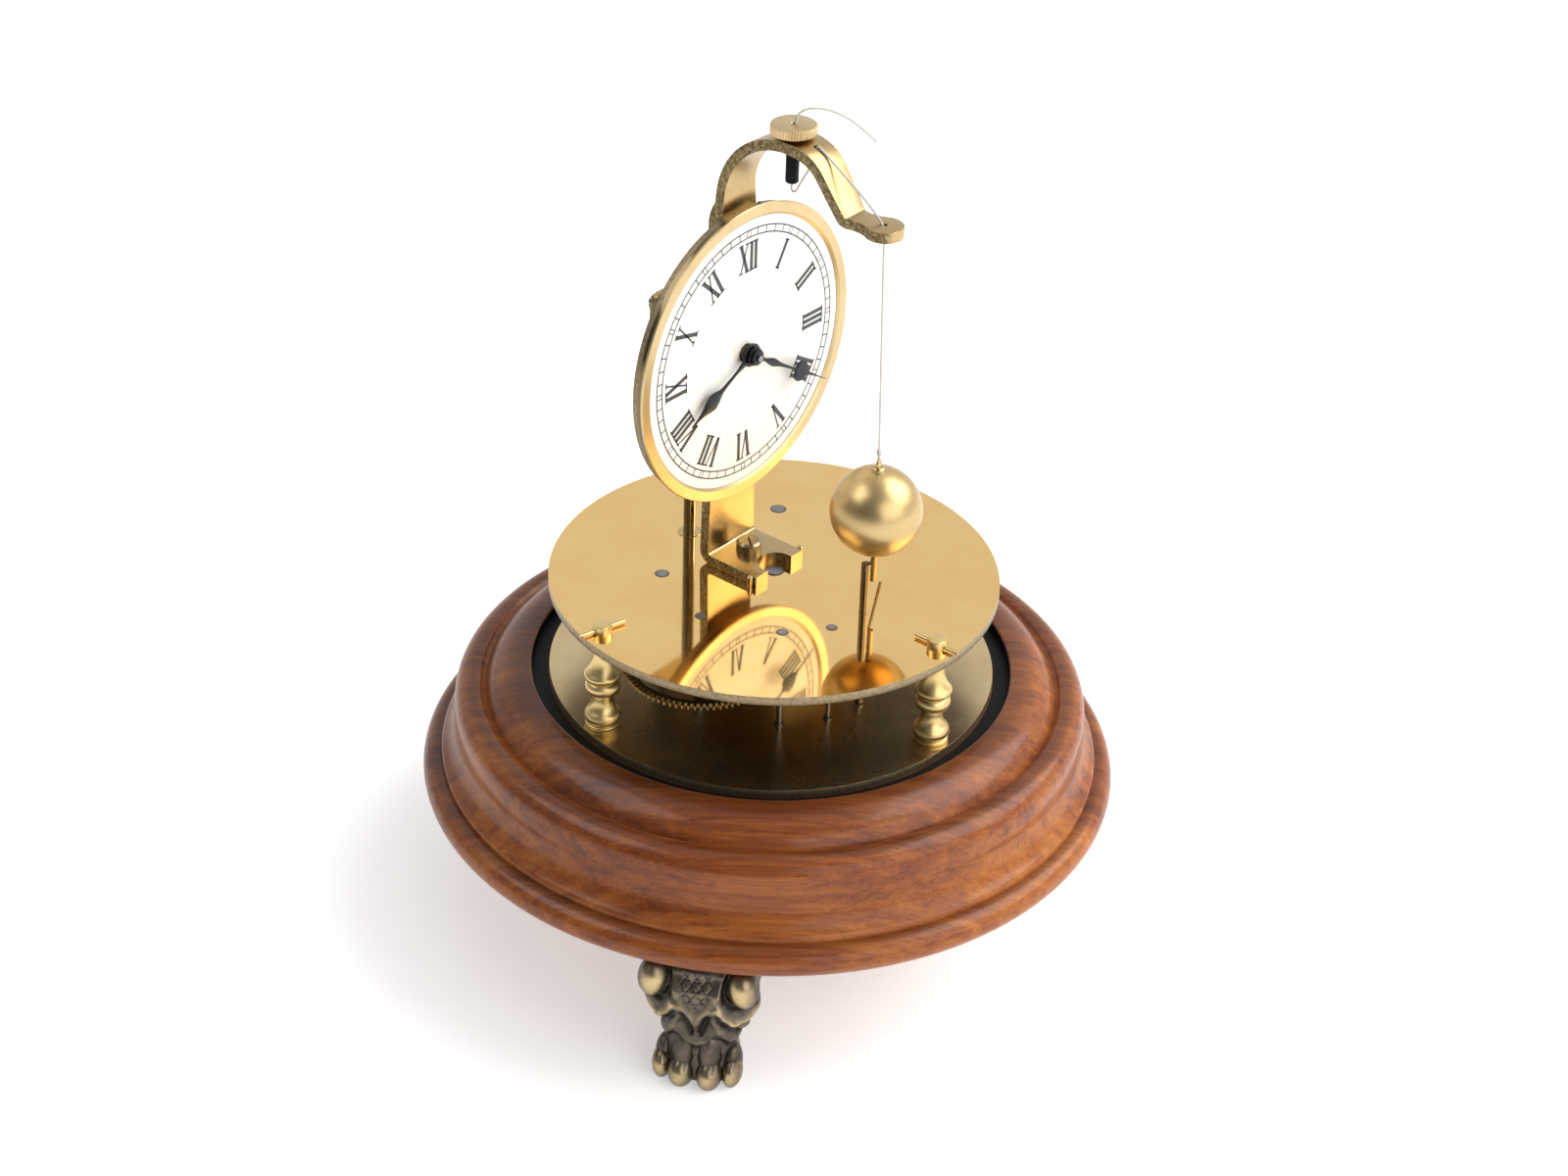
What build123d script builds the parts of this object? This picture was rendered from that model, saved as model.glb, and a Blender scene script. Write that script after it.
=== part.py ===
from build123d import *
import os
from math import cos, sin, tan, pi, radians, degrees, hypot, atan2, sqrt, acos

# Rotary pendulum clock. Millimetres, +Z up, origin on the floor under the centre of the base.
# The dial faces -Y. The movement lies flat between two round plates on a turned wooden base.

# ---- driving dimensions ----
PLATE_RADIUS = 63.5
PLATE_THICKNESS = 2.5
PLATE_GAP = 27.6
FLOOR_TO_TOP_PLATE = 108.0

BASE_RIM_RADIUS = 100.2
BASE_UNDERSIDE = 40.0
BASE_HOLE_RADIUS = 68.5
BASE_CAVITY_RADIUS = 52.0
FOOT_ANGLES = (-151.5, -31.5, 88.5)

PILLAR_CIRCLE_RADIUS = 57.5
PILLAR_ANGLES = (-90.3, 165.5, 52.0)

DIAL_HEIGHT = 172.5
DIAL_FRONT = 11.8
BEZEL_RADIUS = 43.1
DIAL_OPENING_RADIUS = 39.3
CASE_RADIUS = 42.0
STRIP_FRONT = 16.1
STRIP_THICKNESS = 3.0

DRIVE_X, DRIVE_Y = 0.0, -32.0
EYE_TOP = 224.9
BALL_RADIUS = 12.7
THREAD_RADIUS = 0.32

RUNNING_GAP = 0.05        # radial clearance of a pivot in its hole

# heights that follow from the plates
TOP_Z = FLOOR_TO_TOP_PLATE
UPPER_UNDERSIDE = TOP_Z - PLATE_THICKNESS
LOWER_TOP = UPPER_UNDERSIDE - PLATE_GAP
LOWER_UNDERSIDE = LOWER_TOP - PLATE_THICKNESS

# arbor places on the plates
BARREL_AT = (0.0, 0.0)
SECOND_AT = (-22.5, 22.3)
THIRD_AT = (-31.7, -0.3)
FOURTH_AT = (-23.0, -22.0)
FIFTH_AT = (-12.1, -30.5)
DRIVE_AT = (DRIVE_X, DRIVE_Y)
DIAL_DRIVE_AT = (0.0, 31.8)
CLICK_AT = (27.0, 21.0)

# tooth counts: barrel to dial 12:1, barrel to drive arbor 73920:1
GREAT_TEETH = 96
SECOND_TEETH = 80
THIRD_TEETH = 77
FOURTH_TEETH = 48
FIFTH_TEETH = 48
LARGE_LEAVES = 8
SMALL_LEAVES = 6
RATCHET_TEETH = 24
CANNON_LEAVES = 12
MINUTE_WHEEL_TEETH = 36
MINUTE_PINION_LEAVES = 10
HOUR_TEETH = 40
BEVEL_TEETH = 20

os.makedirs("parts", exist_ok=True)


# ---- small helpers ----
def save(name, shape):
    """Write one node. A list of solids becomes one compound."""
    if isinstance(shape, (list, tuple)):
        shape = Compound(children=[s for piece in shape for s in piece.solids()])
    export_step(shape, f"parts/{name}.step")


def post(radius, low, high, x=0.0, y=0.0):
    """Vertical cylinder from height low to height high."""
    return Pos(x, y, (low + high) / 2) * Cylinder(radius, high - low)


def rod_y(radius, front, back, x=0.0, z=0.0):
    """Cylinder along Y from front to back."""
    return Pos(x, (front + back) / 2, z) * Rot(90, 0, 0) * Cylinder(radius, back - front)


def block(x0, x1, y0, y1, z0, z1):
    """Box between two corners."""
    return Pos((x0 + x1) / 2, (y0 + y1) / 2, (z0 + z1) / 2) * Box(x1 - x0, y1 - y0, z1 - z0)


def turned(*edges):
    """Solid of revolution about Z from a closed outline in the XZ plane."""
    return revolve(make_face(Wire(edges)), Axis.Z)


def polar(radius, angle):
    return radius * cos(radians(angle)), radius * sin(radians(angle))


def bearing_angle(start, end):
    """Direction from one arbor to another, in degrees."""
    return degrees(atan2(end[1] - start[1], end[0] - start[0]))


def distance(start, end):
    return hypot(end[0] - start[0], end[1] - start[1])


# ---- gears ----
def tooth_ring(teeth, module, half_tooth, addendum, dedendum, tip_half, phase):
    """Outline of a toothed wheel: radial flanks below the pitch circle, curved tips above."""
    pitch_radius = teeth * module / 2
    root = pitch_radius - dedendum * module
    tip = pitch_radius + addendum * module
    middle = pitch_radius + 0.55 * addendum * module
    middle_half = tip_half + 0.72 * (half_tooth - tip_half)
    edges = []

    def at(radius, offset, centre):
        angle = radians(centre) + offset * module / pitch_radius
        return (radius * cos(angle), radius * sin(angle))

    step = 360.0 / teeth
    for index in range(teeth):
        centre = phase + index * step
        outline = [
            at(root, -half_tooth, centre),
            at(pitch_radius, -half_tooth, centre),
            at(middle, -middle_half, centre),
            at(tip, -tip_half, centre),
            at(tip, tip_half, centre),
            at(middle, middle_half, centre),
            at(pitch_radius, half_tooth, centre),
            at(root, half_tooth, centre),
        ]
        edges.append(Edge.make_line(outline[0], outline[1]))
        edges.append(Edge.make_three_point_arc(outline[1], outline[2], outline[3]))
        edges.append(Edge.make_line(outline[3], outline[4]))
        edges.append(Edge.make_three_point_arc(outline[4], outline[5], outline[6]))
        edges.append(Edge.make_line(outline[6], outline[7]))
        edges.append(Edge.make_line(outline[7], at(root, -half_tooth, centre + step)))
    return make_face(Wire(edges))


def wheel_outline(teeth, module, phase, addendum=1.2):
    return tooth_ring(teeth, module, 0.74, addendum, 1.5, 0.2, phase)


def pinion_outline(leaves, module, phase):
    return tooth_ring(leaves, module, 0.5, 0.6, 1.7, 0.24, phase)


def meshed_phase(driver_phase, driver_teeth, direction, leaves):
    """Phase of a pinion whose gaps meet the driver's teeth along a line of centres."""
    driver_pitch = 360.0 / driver_teeth
    pinion_pitch = 360.0 / leaves
    part_of_pitch = (direction - driver_phase) / driver_pitch
    return direction + 180.0 - (0.5 - part_of_pitch) * pinion_pitch


def module_for(start, end, teeth, leaves):
    return 2 * distance(start, end) / (teeth + leaves)


def crossed_wheel(outline, outer, thickness, hub, rim, spokes, bore, turn):
    """Toothed disc with a rim, a hub and straight spokes."""
    body = extrude(outline, thickness)
    spoke_width = hub * 0.62
    for index in range(spokes):
        start = turn + index * 360 / spokes
        half = 180 / spokes
        window = Cylinder(rim, thickness * 3) - Cylinder(hub, thickness * 4)
        for side in (start, start + 2 * half):
            wide = Rot(0, 0, side) * Pos(outer, 0, 0) * Box(outer * 2, spoke_width, thickness * 5)
            window -= wide
        reach = outer * 2
        wedge_points = [(0, 0), polar(reach, start), polar(reach, start + half), polar(reach, start + 2 * half)]
        wedge = extrude(make_face(Polyline(*wedge_points, close=True)), thickness * 2, both=True)
        body -= window & wedge
    return body - Cylinder(bore, thickness * 4)


# ---- base ----
def wooden_base():
    """Turned ring: convex inner ring, groove for the dome, ovolo and cove, and a torus rim."""
    lip = TOP_Z - 29.4
    torus_radius = 4.5
    torus_r = BASE_RIM_RADIUS - torus_radius
    torus_z = 46.1
    ledge = LOWER_UNDERSIDE
    outline = [
        Edge.make_line((BASE_CAVITY_RADIUS, 0, BASE_UNDERSIDE), (BASE_CAVITY_RADIUS, 0, ledge)),
        Edge.make_line((BASE_CAVITY_RADIUS, 0, ledge), (BASE_HOLE_RADIUS, 0, ledge)),
        Edge.make_line((BASE_HOLE_RADIUS, 0, ledge), (BASE_HOLE_RADIUS, 0, lip - 0.7)),
        Edge.make_three_point_arc((BASE_HOLE_RADIUS, 0, lip - 0.7), (68.75, 0, lip - 0.2), (69.3, 0, lip)),
        Edge.make_three_point_arc((69.3, 0, lip), (76.4, 0, lip - 1.5), (81.8, 0, 71.6)),
        Edge.make_three_point_arc((81.8, 0, 71.6), (82.5, 0, 71.9), (83.4, 0, 72.7)),
        Edge.make_three_point_arc((83.4, 0, 72.7), (88.3, 0, 71.9), (90.6, 0, 67.6)),
        Edge.make_line((90.6, 0, 67.6), (90.5, 0, 63.0)),
        Edge.make_three_point_arc((90.5, 0, 63.0), (91.5, 0, 56.0), (94.6, 0, 52.4)),
        Edge.make_line((94.6, 0, 52.4), (94.9, 0, torus_z + sqrt(torus_radius**2 - 0.8**2))),
        Edge.make_three_point_arc(
            (94.9, 0, torus_z + sqrt(torus_radius**2 - 0.8**2)),
            (BASE_RIM_RADIUS, 0, torus_z),
            (torus_r, 0, torus_z - torus_radius),
        ),
        Edge.make_line((torus_r, 0, torus_z - torus_radius), (94.2, 0, BASE_UNDERSIDE)),
        Edge.make_line((94.2, 0, BASE_UNDERSIDE), (BASE_CAVITY_RADIUS, 0, BASE_UNDERSIDE)),
    ]
    base = turned(*outline)
    for angle in MOVEMENT_SCREW_ANGLES:
        x, y = polar(MOVEMENT_SCREW_CIRCLE, angle)
        base -= post(1.6, BASE_UNDERSIDE - 1, ledge + 1, x, y)
        base -= post(4.6, BASE_UNDERSIDE - 1, MOVEMENT_SCREW_SEAT, x, y)
    for angle in FOOT_ANGLES:
        x, y = polar(FOOT_SCREW_CIRCLE, angle)
        base -= post(1.6, BASE_UNDERSIDE - 1, BASE_UNDERSIDE + 13.0, x, y)
    for angle in PILLAR_ANGLES:
        x, y = polar(PILLAR_CIRCLE_RADIUS, angle)
        base -= post(3.6, ledge - 3.0, ledge + 1, x, y)
    return base


MOVEMENT_SCREW_ANGLES = (-30.0, 90.0, 210.0)
MOVEMENT_SCREW_CIRCLE = 58.5
FOOT_SCREW_CIRCLE = 70.0
FOOT_LUG = 3.0
MOVEMENT_SCREW_SEAT = 62.0


def paw_foot(angle):
    """Cast claw foot: a knuckled leg on a four-toed paw, with a screw lug behind it."""
    # (height, radial centre, half depth, half width)
    levels = (
        (0.0, 88.6, 10.2, 8.6),
        (4.0, 88.4, 11.8, 10.6),
        (9.5, 86.9, 10.6, 10.2),
        (15.5, 85.0, 8.4, 9.3),
        (24.0, 85.6, 10.6, 12.2),
        (33.0, 86.8, 13.2, 15.6),
        (BASE_UNDERSIDE, 86.9, 13.4, 15.8),
    )
    sections = [Pos(r, 0, z) * Ellipse(depth, width) for z, r, depth, width in levels]
    foot = loft(sections)
    for side in (-1, 1):
        foot += Pos(94.4, side * 10.6, 33.2) * Sphere(6.0)
        foot += Pos(95.6, side * 2.7, 4.0) * Sphere(4.0)
        foot += Pos(93.4, side * 7.4, 3.7) * Sphere(3.7)
    lug = block(64.0, 80.0, -7.0, 7.0, BASE_UNDERSIDE - FOOT_LUG, BASE_UNDERSIDE)
    lug += post(7.0, BASE_UNDERSIDE - FOOT_LUG, BASE_UNDERSIDE, 64.0, 0)
    foot += lug
    foot -= post(2.1, BASE_UNDERSIDE - FOOT_LUG - 1.0, BASE_UNDERSIDE + 1.0, FOOT_SCREW_CIRCLE, 0)
    foot -= block(40, 130, -40, 40, BASE_UNDERSIDE, BASE_UNDERSIDE + 20)
    foot -= block(40, 130, -40, 40, -20, 0)
    return Rot(0, 0, angle) * foot


def slotted_screw(head_radius, head_height, shank_radius, shank_length, slot=0.7):
    """Screw standing on its shank: head from 0 up, shank from 0 down."""
    screw = post(head_radius, 0, head_height) + post(shank_radius, -shank_length, 0)
    rim = screw.edges().filter_by(GeomType.CIRCLE).sort_by(Axis.Z)[-1]
    screw = chamfer(rim, 0.18 * head_height)
    return screw - block(-head_radius, head_radius, -slot / 2, slot / 2, head_height * 0.55, head_height + 1)


# ---- plates and pillars ----
def pivot_holes(plate, holes):
    for (x, y), radius in holes:
        plate -= post(radius, 0, 300, x, y)
    return plate


def lower_plate():
    plate = post(PLATE_RADIUS, LOWER_UNDERSIDE, LOWER_TOP)
    holes = [
        (BARREL_AT, WINDING_PIVOT + RUNNING_GAP),
        (SECOND_AT, PIVOT_SECOND + RUNNING_GAP),
        (THIRD_AT, PIVOT_THIRD + RUNNING_GAP),
        (FOURTH_AT, PIVOT_FOURTH + RUNNING_GAP),
        (FIFTH_AT, PIVOT_FIFTH + RUNNING_GAP),
        (DRIVE_AT, 0.58 + RUNNING_GAP),
        (DIAL_DRIVE_AT, PIVOT_DIAL + RUNNING_GAP),
    ]
    plate = pivot_holes(plate, holes)
    for angle in PILLAR_ANGLES:
        x, y = polar(PILLAR_CIRCLE_RADIUS, angle)
        plate -= post(1.6, LOWER_UNDERSIDE - 1, LOWER_TOP + 1, x, y)
    for angle in MOVEMENT_SCREW_ANGLES:
        x, y = polar(MOVEMENT_SCREW_CIRCLE, angle)
        plate -= post(1.5, LOWER_UNDERSIDE - 1, LOWER_UNDERSIDE + 1.8, x, y)
    return plate


WINDING_PIVOT = 3.4
BARREL_TOP_PIVOT = 2.4
PIVOT_SECOND = 1.7
PIVOT_THIRD = 1.45
PIVOT_FOURTH = 1.35
PIVOT_FIFTH = 1.25
PIVOT_DRIVE = 1.3
PIVOT_DIAL = 1.2
DIAL_ROD = 1.8
TENON_RADIUS = 2.65
BRACKET_SCREW_AT = (0.0, 9.6)
DOWEL_AT = ((-11.06, -0.2), (11.06, -0.2))
DOWEL_RADIUS = 0.85
CLICK_SPRING_SCREW_AT = (12.7, 33.9)


def upper_plate():
    plate = post(PLATE_RADIUS, UPPER_UNDERSIDE, TOP_Z)
    holes = [
        (BARREL_AT, BARREL_TOP_PIVOT + RUNNING_GAP),
        (SECOND_AT, PIVOT_SECOND + RUNNING_GAP),
        (THIRD_AT, PIVOT_THIRD + RUNNING_GAP),
        (FOURTH_AT, PIVOT_FOURTH + RUNNING_GAP),
        (FIFTH_AT, PIVOT_FIFTH + RUNNING_GAP),
        (DRIVE_AT, PIVOT_DRIVE + RUNNING_GAP),
        (DIAL_DRIVE_AT, 3.4),
        (CLICK_AT, 2.0),
        (BRACKET_SCREW_AT, 1.5),
        (DOWEL_AT[0], DOWEL_RADIUS),
        (DOWEL_AT[1], DOWEL_RADIUS),
    ]
    plate = pivot_holes(plate, holes)
    plate -= post(1.0, UPPER_UNDERSIDE - 1, UPPER_UNDERSIDE + 1.5, *CLICK_SPRING_SCREW_AT)
    for angle in PILLAR_ANGLES:
        x, y = polar(PILLAR_CIRCLE_RADIUS, angle)
        plate -= post(TENON_RADIUS, UPPER_UNDERSIDE - 1, TOP_Z + 1, x, y)
    return plate


def pillar(angle):
    """Turned baluster with a tenon through the upper plate and a cross hole for its pin."""
    base = LOWER_TOP
    top = UPPER_UNDERSIDE
    tenon_top = TOP_Z + 2.7
    outline = [
        Edge.make_line((0, 0, base), (4.8, 0, base)),
        Edge.make_line((4.8, 0, base), (4.9, 0, base + 0.9)),
        Edge.make_line((4.9, 0, base + 0.9), (4.5, 0, base + 1.2)),
        Edge.make_three_point_arc((4.5, 0, base + 1.2), (5.15, 0, base + 3.0), (4.6, 0, base + 4.6)),
        Edge.make_three_point_arc((4.6, 0, base + 4.6), (3.3, 0, base + 6.6), (2.9, 0, base + 9.4)),
        Edge.make_line((2.9, 0, base + 9.4), (2.8, 0, base + 10.2)),
        Edge.make_three_point_arc((2.8, 0, base + 10.2), (4.95, 0, base + 12.5), (3.6, 0, base + 14.8)),
        Edge.make_three_point_arc((3.6, 0, base + 14.8), (4.9, 0, base + 15.5), (5.05, 0, base + 16.9)),
        Edge.make_three_point_arc((5.05, 0, base + 16.9), (3.5, 0, base + 19.4), (2.8, 0, base + 22.4)),
        Edge.make_line((2.8, 0, base + 22.4), (2.8, 0, base + 23.6)),
        Edge.make_three_point_arc((2.8, 0, base + 23.6), (3.4, 0, base + 25.6), (4.6, 0, base + 26.6)),
        Edge.make_line((4.6, 0, base + 26.6), (4.6, 0, top)),
        Edge.make_line((4.6, 0, top), (TENON_RADIUS, 0, top)),
        Edge.make_line((TENON_RADIUS, 0, top), (TENON_RADIUS, 0, tenon_top - 0.4)),
        Edge.make_line((TENON_RADIUS, 0, tenon_top - 0.4), (TENON_RADIUS - 0.4, 0, tenon_top)),
        Edge.make_line((TENON_RADIUS - 0.4, 0, tenon_top), (0, 0, tenon_top)),
        Edge.make_line((0, 0, tenon_top), (0, 0, base)),
    ]
    body = turned(*outline)
    body -= post(1.5, base - 1, base + 9.0)
    body -= Pos(0, 0, TOP_Z + PIN_HEIGHT) * Rot(0, 90, 0) * Cylinder(0.6, 20)
    x, y = polar(PILLAR_CIRCLE_RADIUS, angle)
    return Pos(x, y, 0) * Rot(0, 0, angle) * body


PIN_HEIGHT = 0.9


def pillar_pin(angle):
    """Taper pin through a tenon, lying along the radius just above the plate."""
    pin = Pos(0, 0, TOP_Z + PIN_HEIGHT) * Rot(0, 90, 0) * Cone(0.58, 0.5, 14.2)
    x, y = polar(PILLAR_CIRCLE_RADIUS, angle)
    return Pos(x, y, 0) * Rot(0, 0, angle) * pin


def pillar_screw(angle):
    screw = Rot(180, 0, 0) * slotted_screw(3.0, 1.8, 1.45, 8.5)
    x, y = polar(PILLAR_CIRCLE_RADIUS, angle)
    return Pos(x, y, LOWER_UNDERSIDE) * screw


def base_screw(circle, angle, seat):
    """Screw driven upwards from its seat: six alike hold the movement and the feet to the base."""
    screw = Rot(180, 0, 0) * slotted_screw(3.8, 2.4, 1.5, 15.2, 0.9)
    x, y = polar(circle, angle)
    return Pos(x, y, seat) * screw


def base_screws():
    movement = [base_screw(MOVEMENT_SCREW_CIRCLE, angle, MOVEMENT_SCREW_SEAT) for angle in MOVEMENT_SCREW_ANGLES]
    feet = [base_screw(FOOT_SCREW_CIRCLE, angle, BASE_UNDERSIDE - FOOT_LUG) for angle in FOOT_ANGLES]
    return movement + feet


# ---- going barrel ----
GREAT_MODULE = module_for(BARREL_AT, SECOND_AT, GREAT_TEETH, LARGE_LEAVES)
SECOND_MODULE = module_for(SECOND_AT, THIRD_AT, SECOND_TEETH, LARGE_LEAVES)
THIRD_MODULE = module_for(THIRD_AT, FOURTH_AT, THIRD_TEETH, LARGE_LEAVES)
FOURTH_MODULE = module_for(FOURTH_AT, FIFTH_AT, FOURTH_TEETH, SMALL_LEAVES)
FIFTH_MODULE = module_for(FIFTH_AT, DRIVE_AT, FIFTH_TEETH, SMALL_LEAVES)

BARREL_RADIUS = 20.4
BARREL_LOW = LOWER_TOP + 1.2
GREAT_LOW = LOWER_TOP + 11.0
WHEEL_THICKNESS = 1.2
GREAT_THICKNESS = 1.6
THIRD_LOW = LOWER_TOP + 13.6      # third wheel
SECOND_LOW = LOWER_TOP + 16.0     # second and fourth wheels
FIFTH_LOW = LOWER_TOP + 18.8      # fifth wheel
RATCHET_LOW = LOWER_TOP + 25.4
RATCHET_THICKNESS = 1.6

DIRECTION_SECOND = bearing_angle(BARREL_AT, SECOND_AT)
DIRECTION_THIRD = bearing_angle(SECOND_AT, THIRD_AT)
DIRECTION_FOURTH = bearing_angle(THIRD_AT, FOURTH_AT)
DIRECTION_FIFTH = bearing_angle(FOURTH_AT, FIFTH_AT)
DIRECTION_DRIVE = bearing_angle(FIFTH_AT, DRIVE_AT)
DIRECTION_DIAL = bearing_angle(BARREL_AT, DIAL_DRIVE_AT)


def barrel():
    """Drum closed above by the great wheel, which is one piece with it."""
    outline = wheel_outline(GREAT_TEETH, GREAT_MODULE, DIRECTION_SECOND)
    drum = post(BARREL_RADIUS, BARREL_LOW, GREAT_LOW + 0.4)
    drum += Pos(0, 0, GREAT_LOW) * extrude(outline, GREAT_THICKNESS)
    drum -= post(BARREL_RADIUS - 1.4, BARREL_LOW - 1, GREAT_LOW - 1.2)
    return drum - post(4.3, BARREL_LOW, GREAT_LOW + GREAT_THICKNESS + 1)


def barrel_cover():
    cover = post(BARREL_RADIUS - 1.4, BARREL_LOW, BARREL_LOW + 1.0)
    return cover - post(4.3, BARREL_LOW - 1, BARREL_LOW + 2)


def mainspring():
    """Flat coiled strip between the arbor hub and the drum wall."""
    turns = 7
    inner = 7.2
    outer = BARREL_RADIUS - 2.4
    strip = 0.45
    growth = (outer - inner) / (turns * 2 * pi)

    def along(offset, backwards=False):
        count = turns * 10
        angles = [index * 2 * pi / 10 for index in range(count + 1)]
        points = [((inner + growth * a + offset) * cos(a), (inner + growth * a + offset) * sin(a)) for a in angles]
        return points[::-1] if backwards else points

    inner_points = along(-strip / 2)
    outer_points = along(strip / 2, backwards=True)
    edges = [
        Edge.make_spline(inner_points),
        Edge.make_line(inner_points[-1], outer_points[0]),
        Edge.make_spline(outer_points),
        Edge.make_line(outer_points[-1], inner_points[0]),
    ]
    low = BARREL_LOW + 1.3
    high = GREAT_LOW - 1.5
    return Pos(0, 0, low) * extrude(make_face(Wire(edges)), high - low)


def barrel_arbor():
    """Hub for the spring, pivots in both plates and a winding square below."""
    arbor = post(6.0, BARREL_LOW + 1.3, GREAT_LOW - 1.5)
    arbor += post(4.25, LOWER_TOP + 0.3, GREAT_LOW + GREAT_THICKNESS + 1.0)
    arbor += post(4.0, GREAT_LOW + GREAT_THICKNESS, RATCHET_LOW)
    arbor += post(WINDING_PIVOT, LOWER_UNDERSIDE, LOWER_TOP + 0.3)
    arbor += post(BARREL_TOP_PIVOT, RATCHET_LOW, TOP_Z + 0.3)
    square = block(-2.2, 2.2, -2.2, 2.2, LOWER_UNDERSIDE - 13.0, LOWER_UNDERSIDE)
    return arbor + square


def ratchet_wheel():
    """Saw-toothed wheel fixed on the barrel arbor under the upper plate."""
    tip_radius = 14.0
    root_radius = 12.4
    step = 360.0 / RATCHET_TEETH
    points = []
    for index in range(RATCHET_TEETH):
        start = RATCHET_PHASE + index * step
        points.append(across_click_line(*polar(tip_radius, start)))
        points.append(across_click_line(*polar(root_radius, start + 0.12 * step)))
    outline = make_face(Polyline(*points, close=True))
    wheel = Pos(0, 0, RATCHET_LOW) * extrude(outline, RATCHET_THICKNESS)
    return wheel - post(BARREL_TOP_PIVOT, RATCHET_LOW - 1, RATCHET_LOW + 5)


RATCHET_PHASE = 0.0


def across_click_line(x, y):
    """Mirror a point about the line from the barrel arbor to the click stud."""
    double = 2 * atan2(CLICK_AT[1], CLICK_AT[0])
    return x * cos(double) + y * sin(double), x * sin(double) - y * cos(double)


def click():
    """Pawl that drops behind a ratchet tooth, pivoted on its stud."""
    low = RATCHET_LOW + 0.1
    high = RATCHET_LOW + RATCHET_THICKNESS - 0.1
    points = [
        (13.75, 0.45),
        (12.95, 1.05),
        (13.55, 2.4),
        (19.5, 14.5),
        (23.2, 21.5),
        (27.0, 24.6),
        (30.6, 21.0),
        (27.0, 17.2),
        (22.5, 14.0),
        (17.0, 4.6),
    ]
    outline = make_face(Polyline(*[across_click_line(*point) for point in points], close=True))
    body = Pos(0, 0, low) * extrude(outline, high - low)
    body += post(3.9, low, high, *CLICK_AT)
    return body - post(2.0 + RUNNING_GAP, low - 1, high + 1, *CLICK_AT)


def click_stud():
    """Shouldered steel stud riveted in the upper plate."""
    x, y = CLICK_AT
    stud = post(2.0, RATCHET_LOW - 0.6, TOP_Z + 0.1, x, y)
    return stud + post(3.2, RATCHET_LOW - 1.4, RATCHET_LOW - 0.4, x, y)


def click_spring():
    """Bent strip that presses the click onto the ratchet, held by a foot under the plate."""
    low = RATCHET_LOW + 0.2
    high = UPPER_UNDERSIDE
    x, y = CLICK_SPRING_SCREW_AT
    foot = post(2.6, low, high, x, y) - post(1.0, low - 1, high + 1, x, y)
    path = [(x + 1.0, y - 2.0), across_click_line(31.0, 11.5), across_click_line(24.8, 14.2)]
    strip = Pos(0, 0, low) * extrude(trace(Polyline(*path), 0.6), 1.3)
    return foot + strip


def click_spring_screw():
    x, y = CLICK_SPRING_SCREW_AT
    screw = post(1.0, RATCHET_LOW + 0.2, UPPER_UNDERSIDE + 1.5, x, y)
    return screw + post(1.9, RATCHET_LOW - 0.8, RATCHET_LOW + 0.2, x, y)


# ---- train arbors and wheels ----
def train_arbor(place, pivot, leaves, module, phase, pinion_low, pinion_high, wheel_low, body, top):
    """Steel arbor with its pinion cut in the solid, a seat for its wheel and two pivots."""
    x, y = place
    arbor = post(body, LOWER_TOP + 0.4, UPPER_UNDERSIDE - 0.4)
    arbor += post(pivot, LOWER_UNDERSIDE + 0.2, LOWER_TOP + 0.4)
    arbor += post(pivot, UPPER_UNDERSIDE - 0.4, top)
    arbor += Pos(0, 0, pinion_low) * extrude(pinion_outline(leaves, module, phase), pinion_high - pinion_low)
    if wheel_low:
        arbor += post(WHEEL_SEAT, wheel_low - 0.8, wheel_low + WHEEL_THICKNESS + 0.5)
        arbor += post(WHEEL_SEAT + 0.8, wheel_low - 0.8, wheel_low)
    return Pos(x, y, 0) * arbor


WHEEL_SEAT = 1.5
PINION_SECOND_PHASE = meshed_phase(DIRECTION_SECOND, GREAT_TEETH, DIRECTION_SECOND, LARGE_LEAVES)
PINION_THIRD_PHASE = meshed_phase(DIRECTION_THIRD, SECOND_TEETH, DIRECTION_THIRD, LARGE_LEAVES)
PINION_FOURTH_PHASE = meshed_phase(DIRECTION_FOURTH, THIRD_TEETH, DIRECTION_FOURTH, LARGE_LEAVES)
PINION_FIFTH_PHASE = meshed_phase(DIRECTION_FIFTH, FOURTH_TEETH, DIRECTION_FIFTH, SMALL_LEAVES)
PINION_DRIVE_PHASE = meshed_phase(DIRECTION_DRIVE, FIFTH_TEETH, DIRECTION_DRIVE, SMALL_LEAVES)
PINION_DIAL_PHASE = meshed_phase(DIRECTION_SECOND, GREAT_TEETH, DIRECTION_DIAL, LARGE_LEAVES)


def train_wheel(place, teeth, module, phase, low, hub, spokes, addendum=1.2):
    outer = teeth * module / 2
    rim = outer - 2.6 * module - 0.9
    outline = wheel_outline(teeth, module, phase, addendum)
    wheel = crossed_wheel(outline, outer, WHEEL_THICKNESS, hub, rim, spokes, WHEEL_SEAT, phase)
    return Pos(place[0], place[1], low) * wheel


def second_arbor():
    return train_arbor(
        SECOND_AT, PIVOT_SECOND, LARGE_LEAVES, GREAT_MODULE, PINION_SECOND_PHASE,
        GREAT_LOW - 0.7, GREAT_LOW + GREAT_THICKNESS + 0.5, SECOND_LOW, 1.3, TOP_Z + 0.1,
    )


def third_arbor():
    return train_arbor(
        THIRD_AT, PIVOT_THIRD, LARGE_LEAVES, SECOND_MODULE, PINION_THIRD_PHASE,
        SECOND_LOW - 0.3, SECOND_LOW + WHEEL_THICKNESS + 0.6, THIRD_LOW, 1.1, TOP_Z + 0.1,
    )


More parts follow.
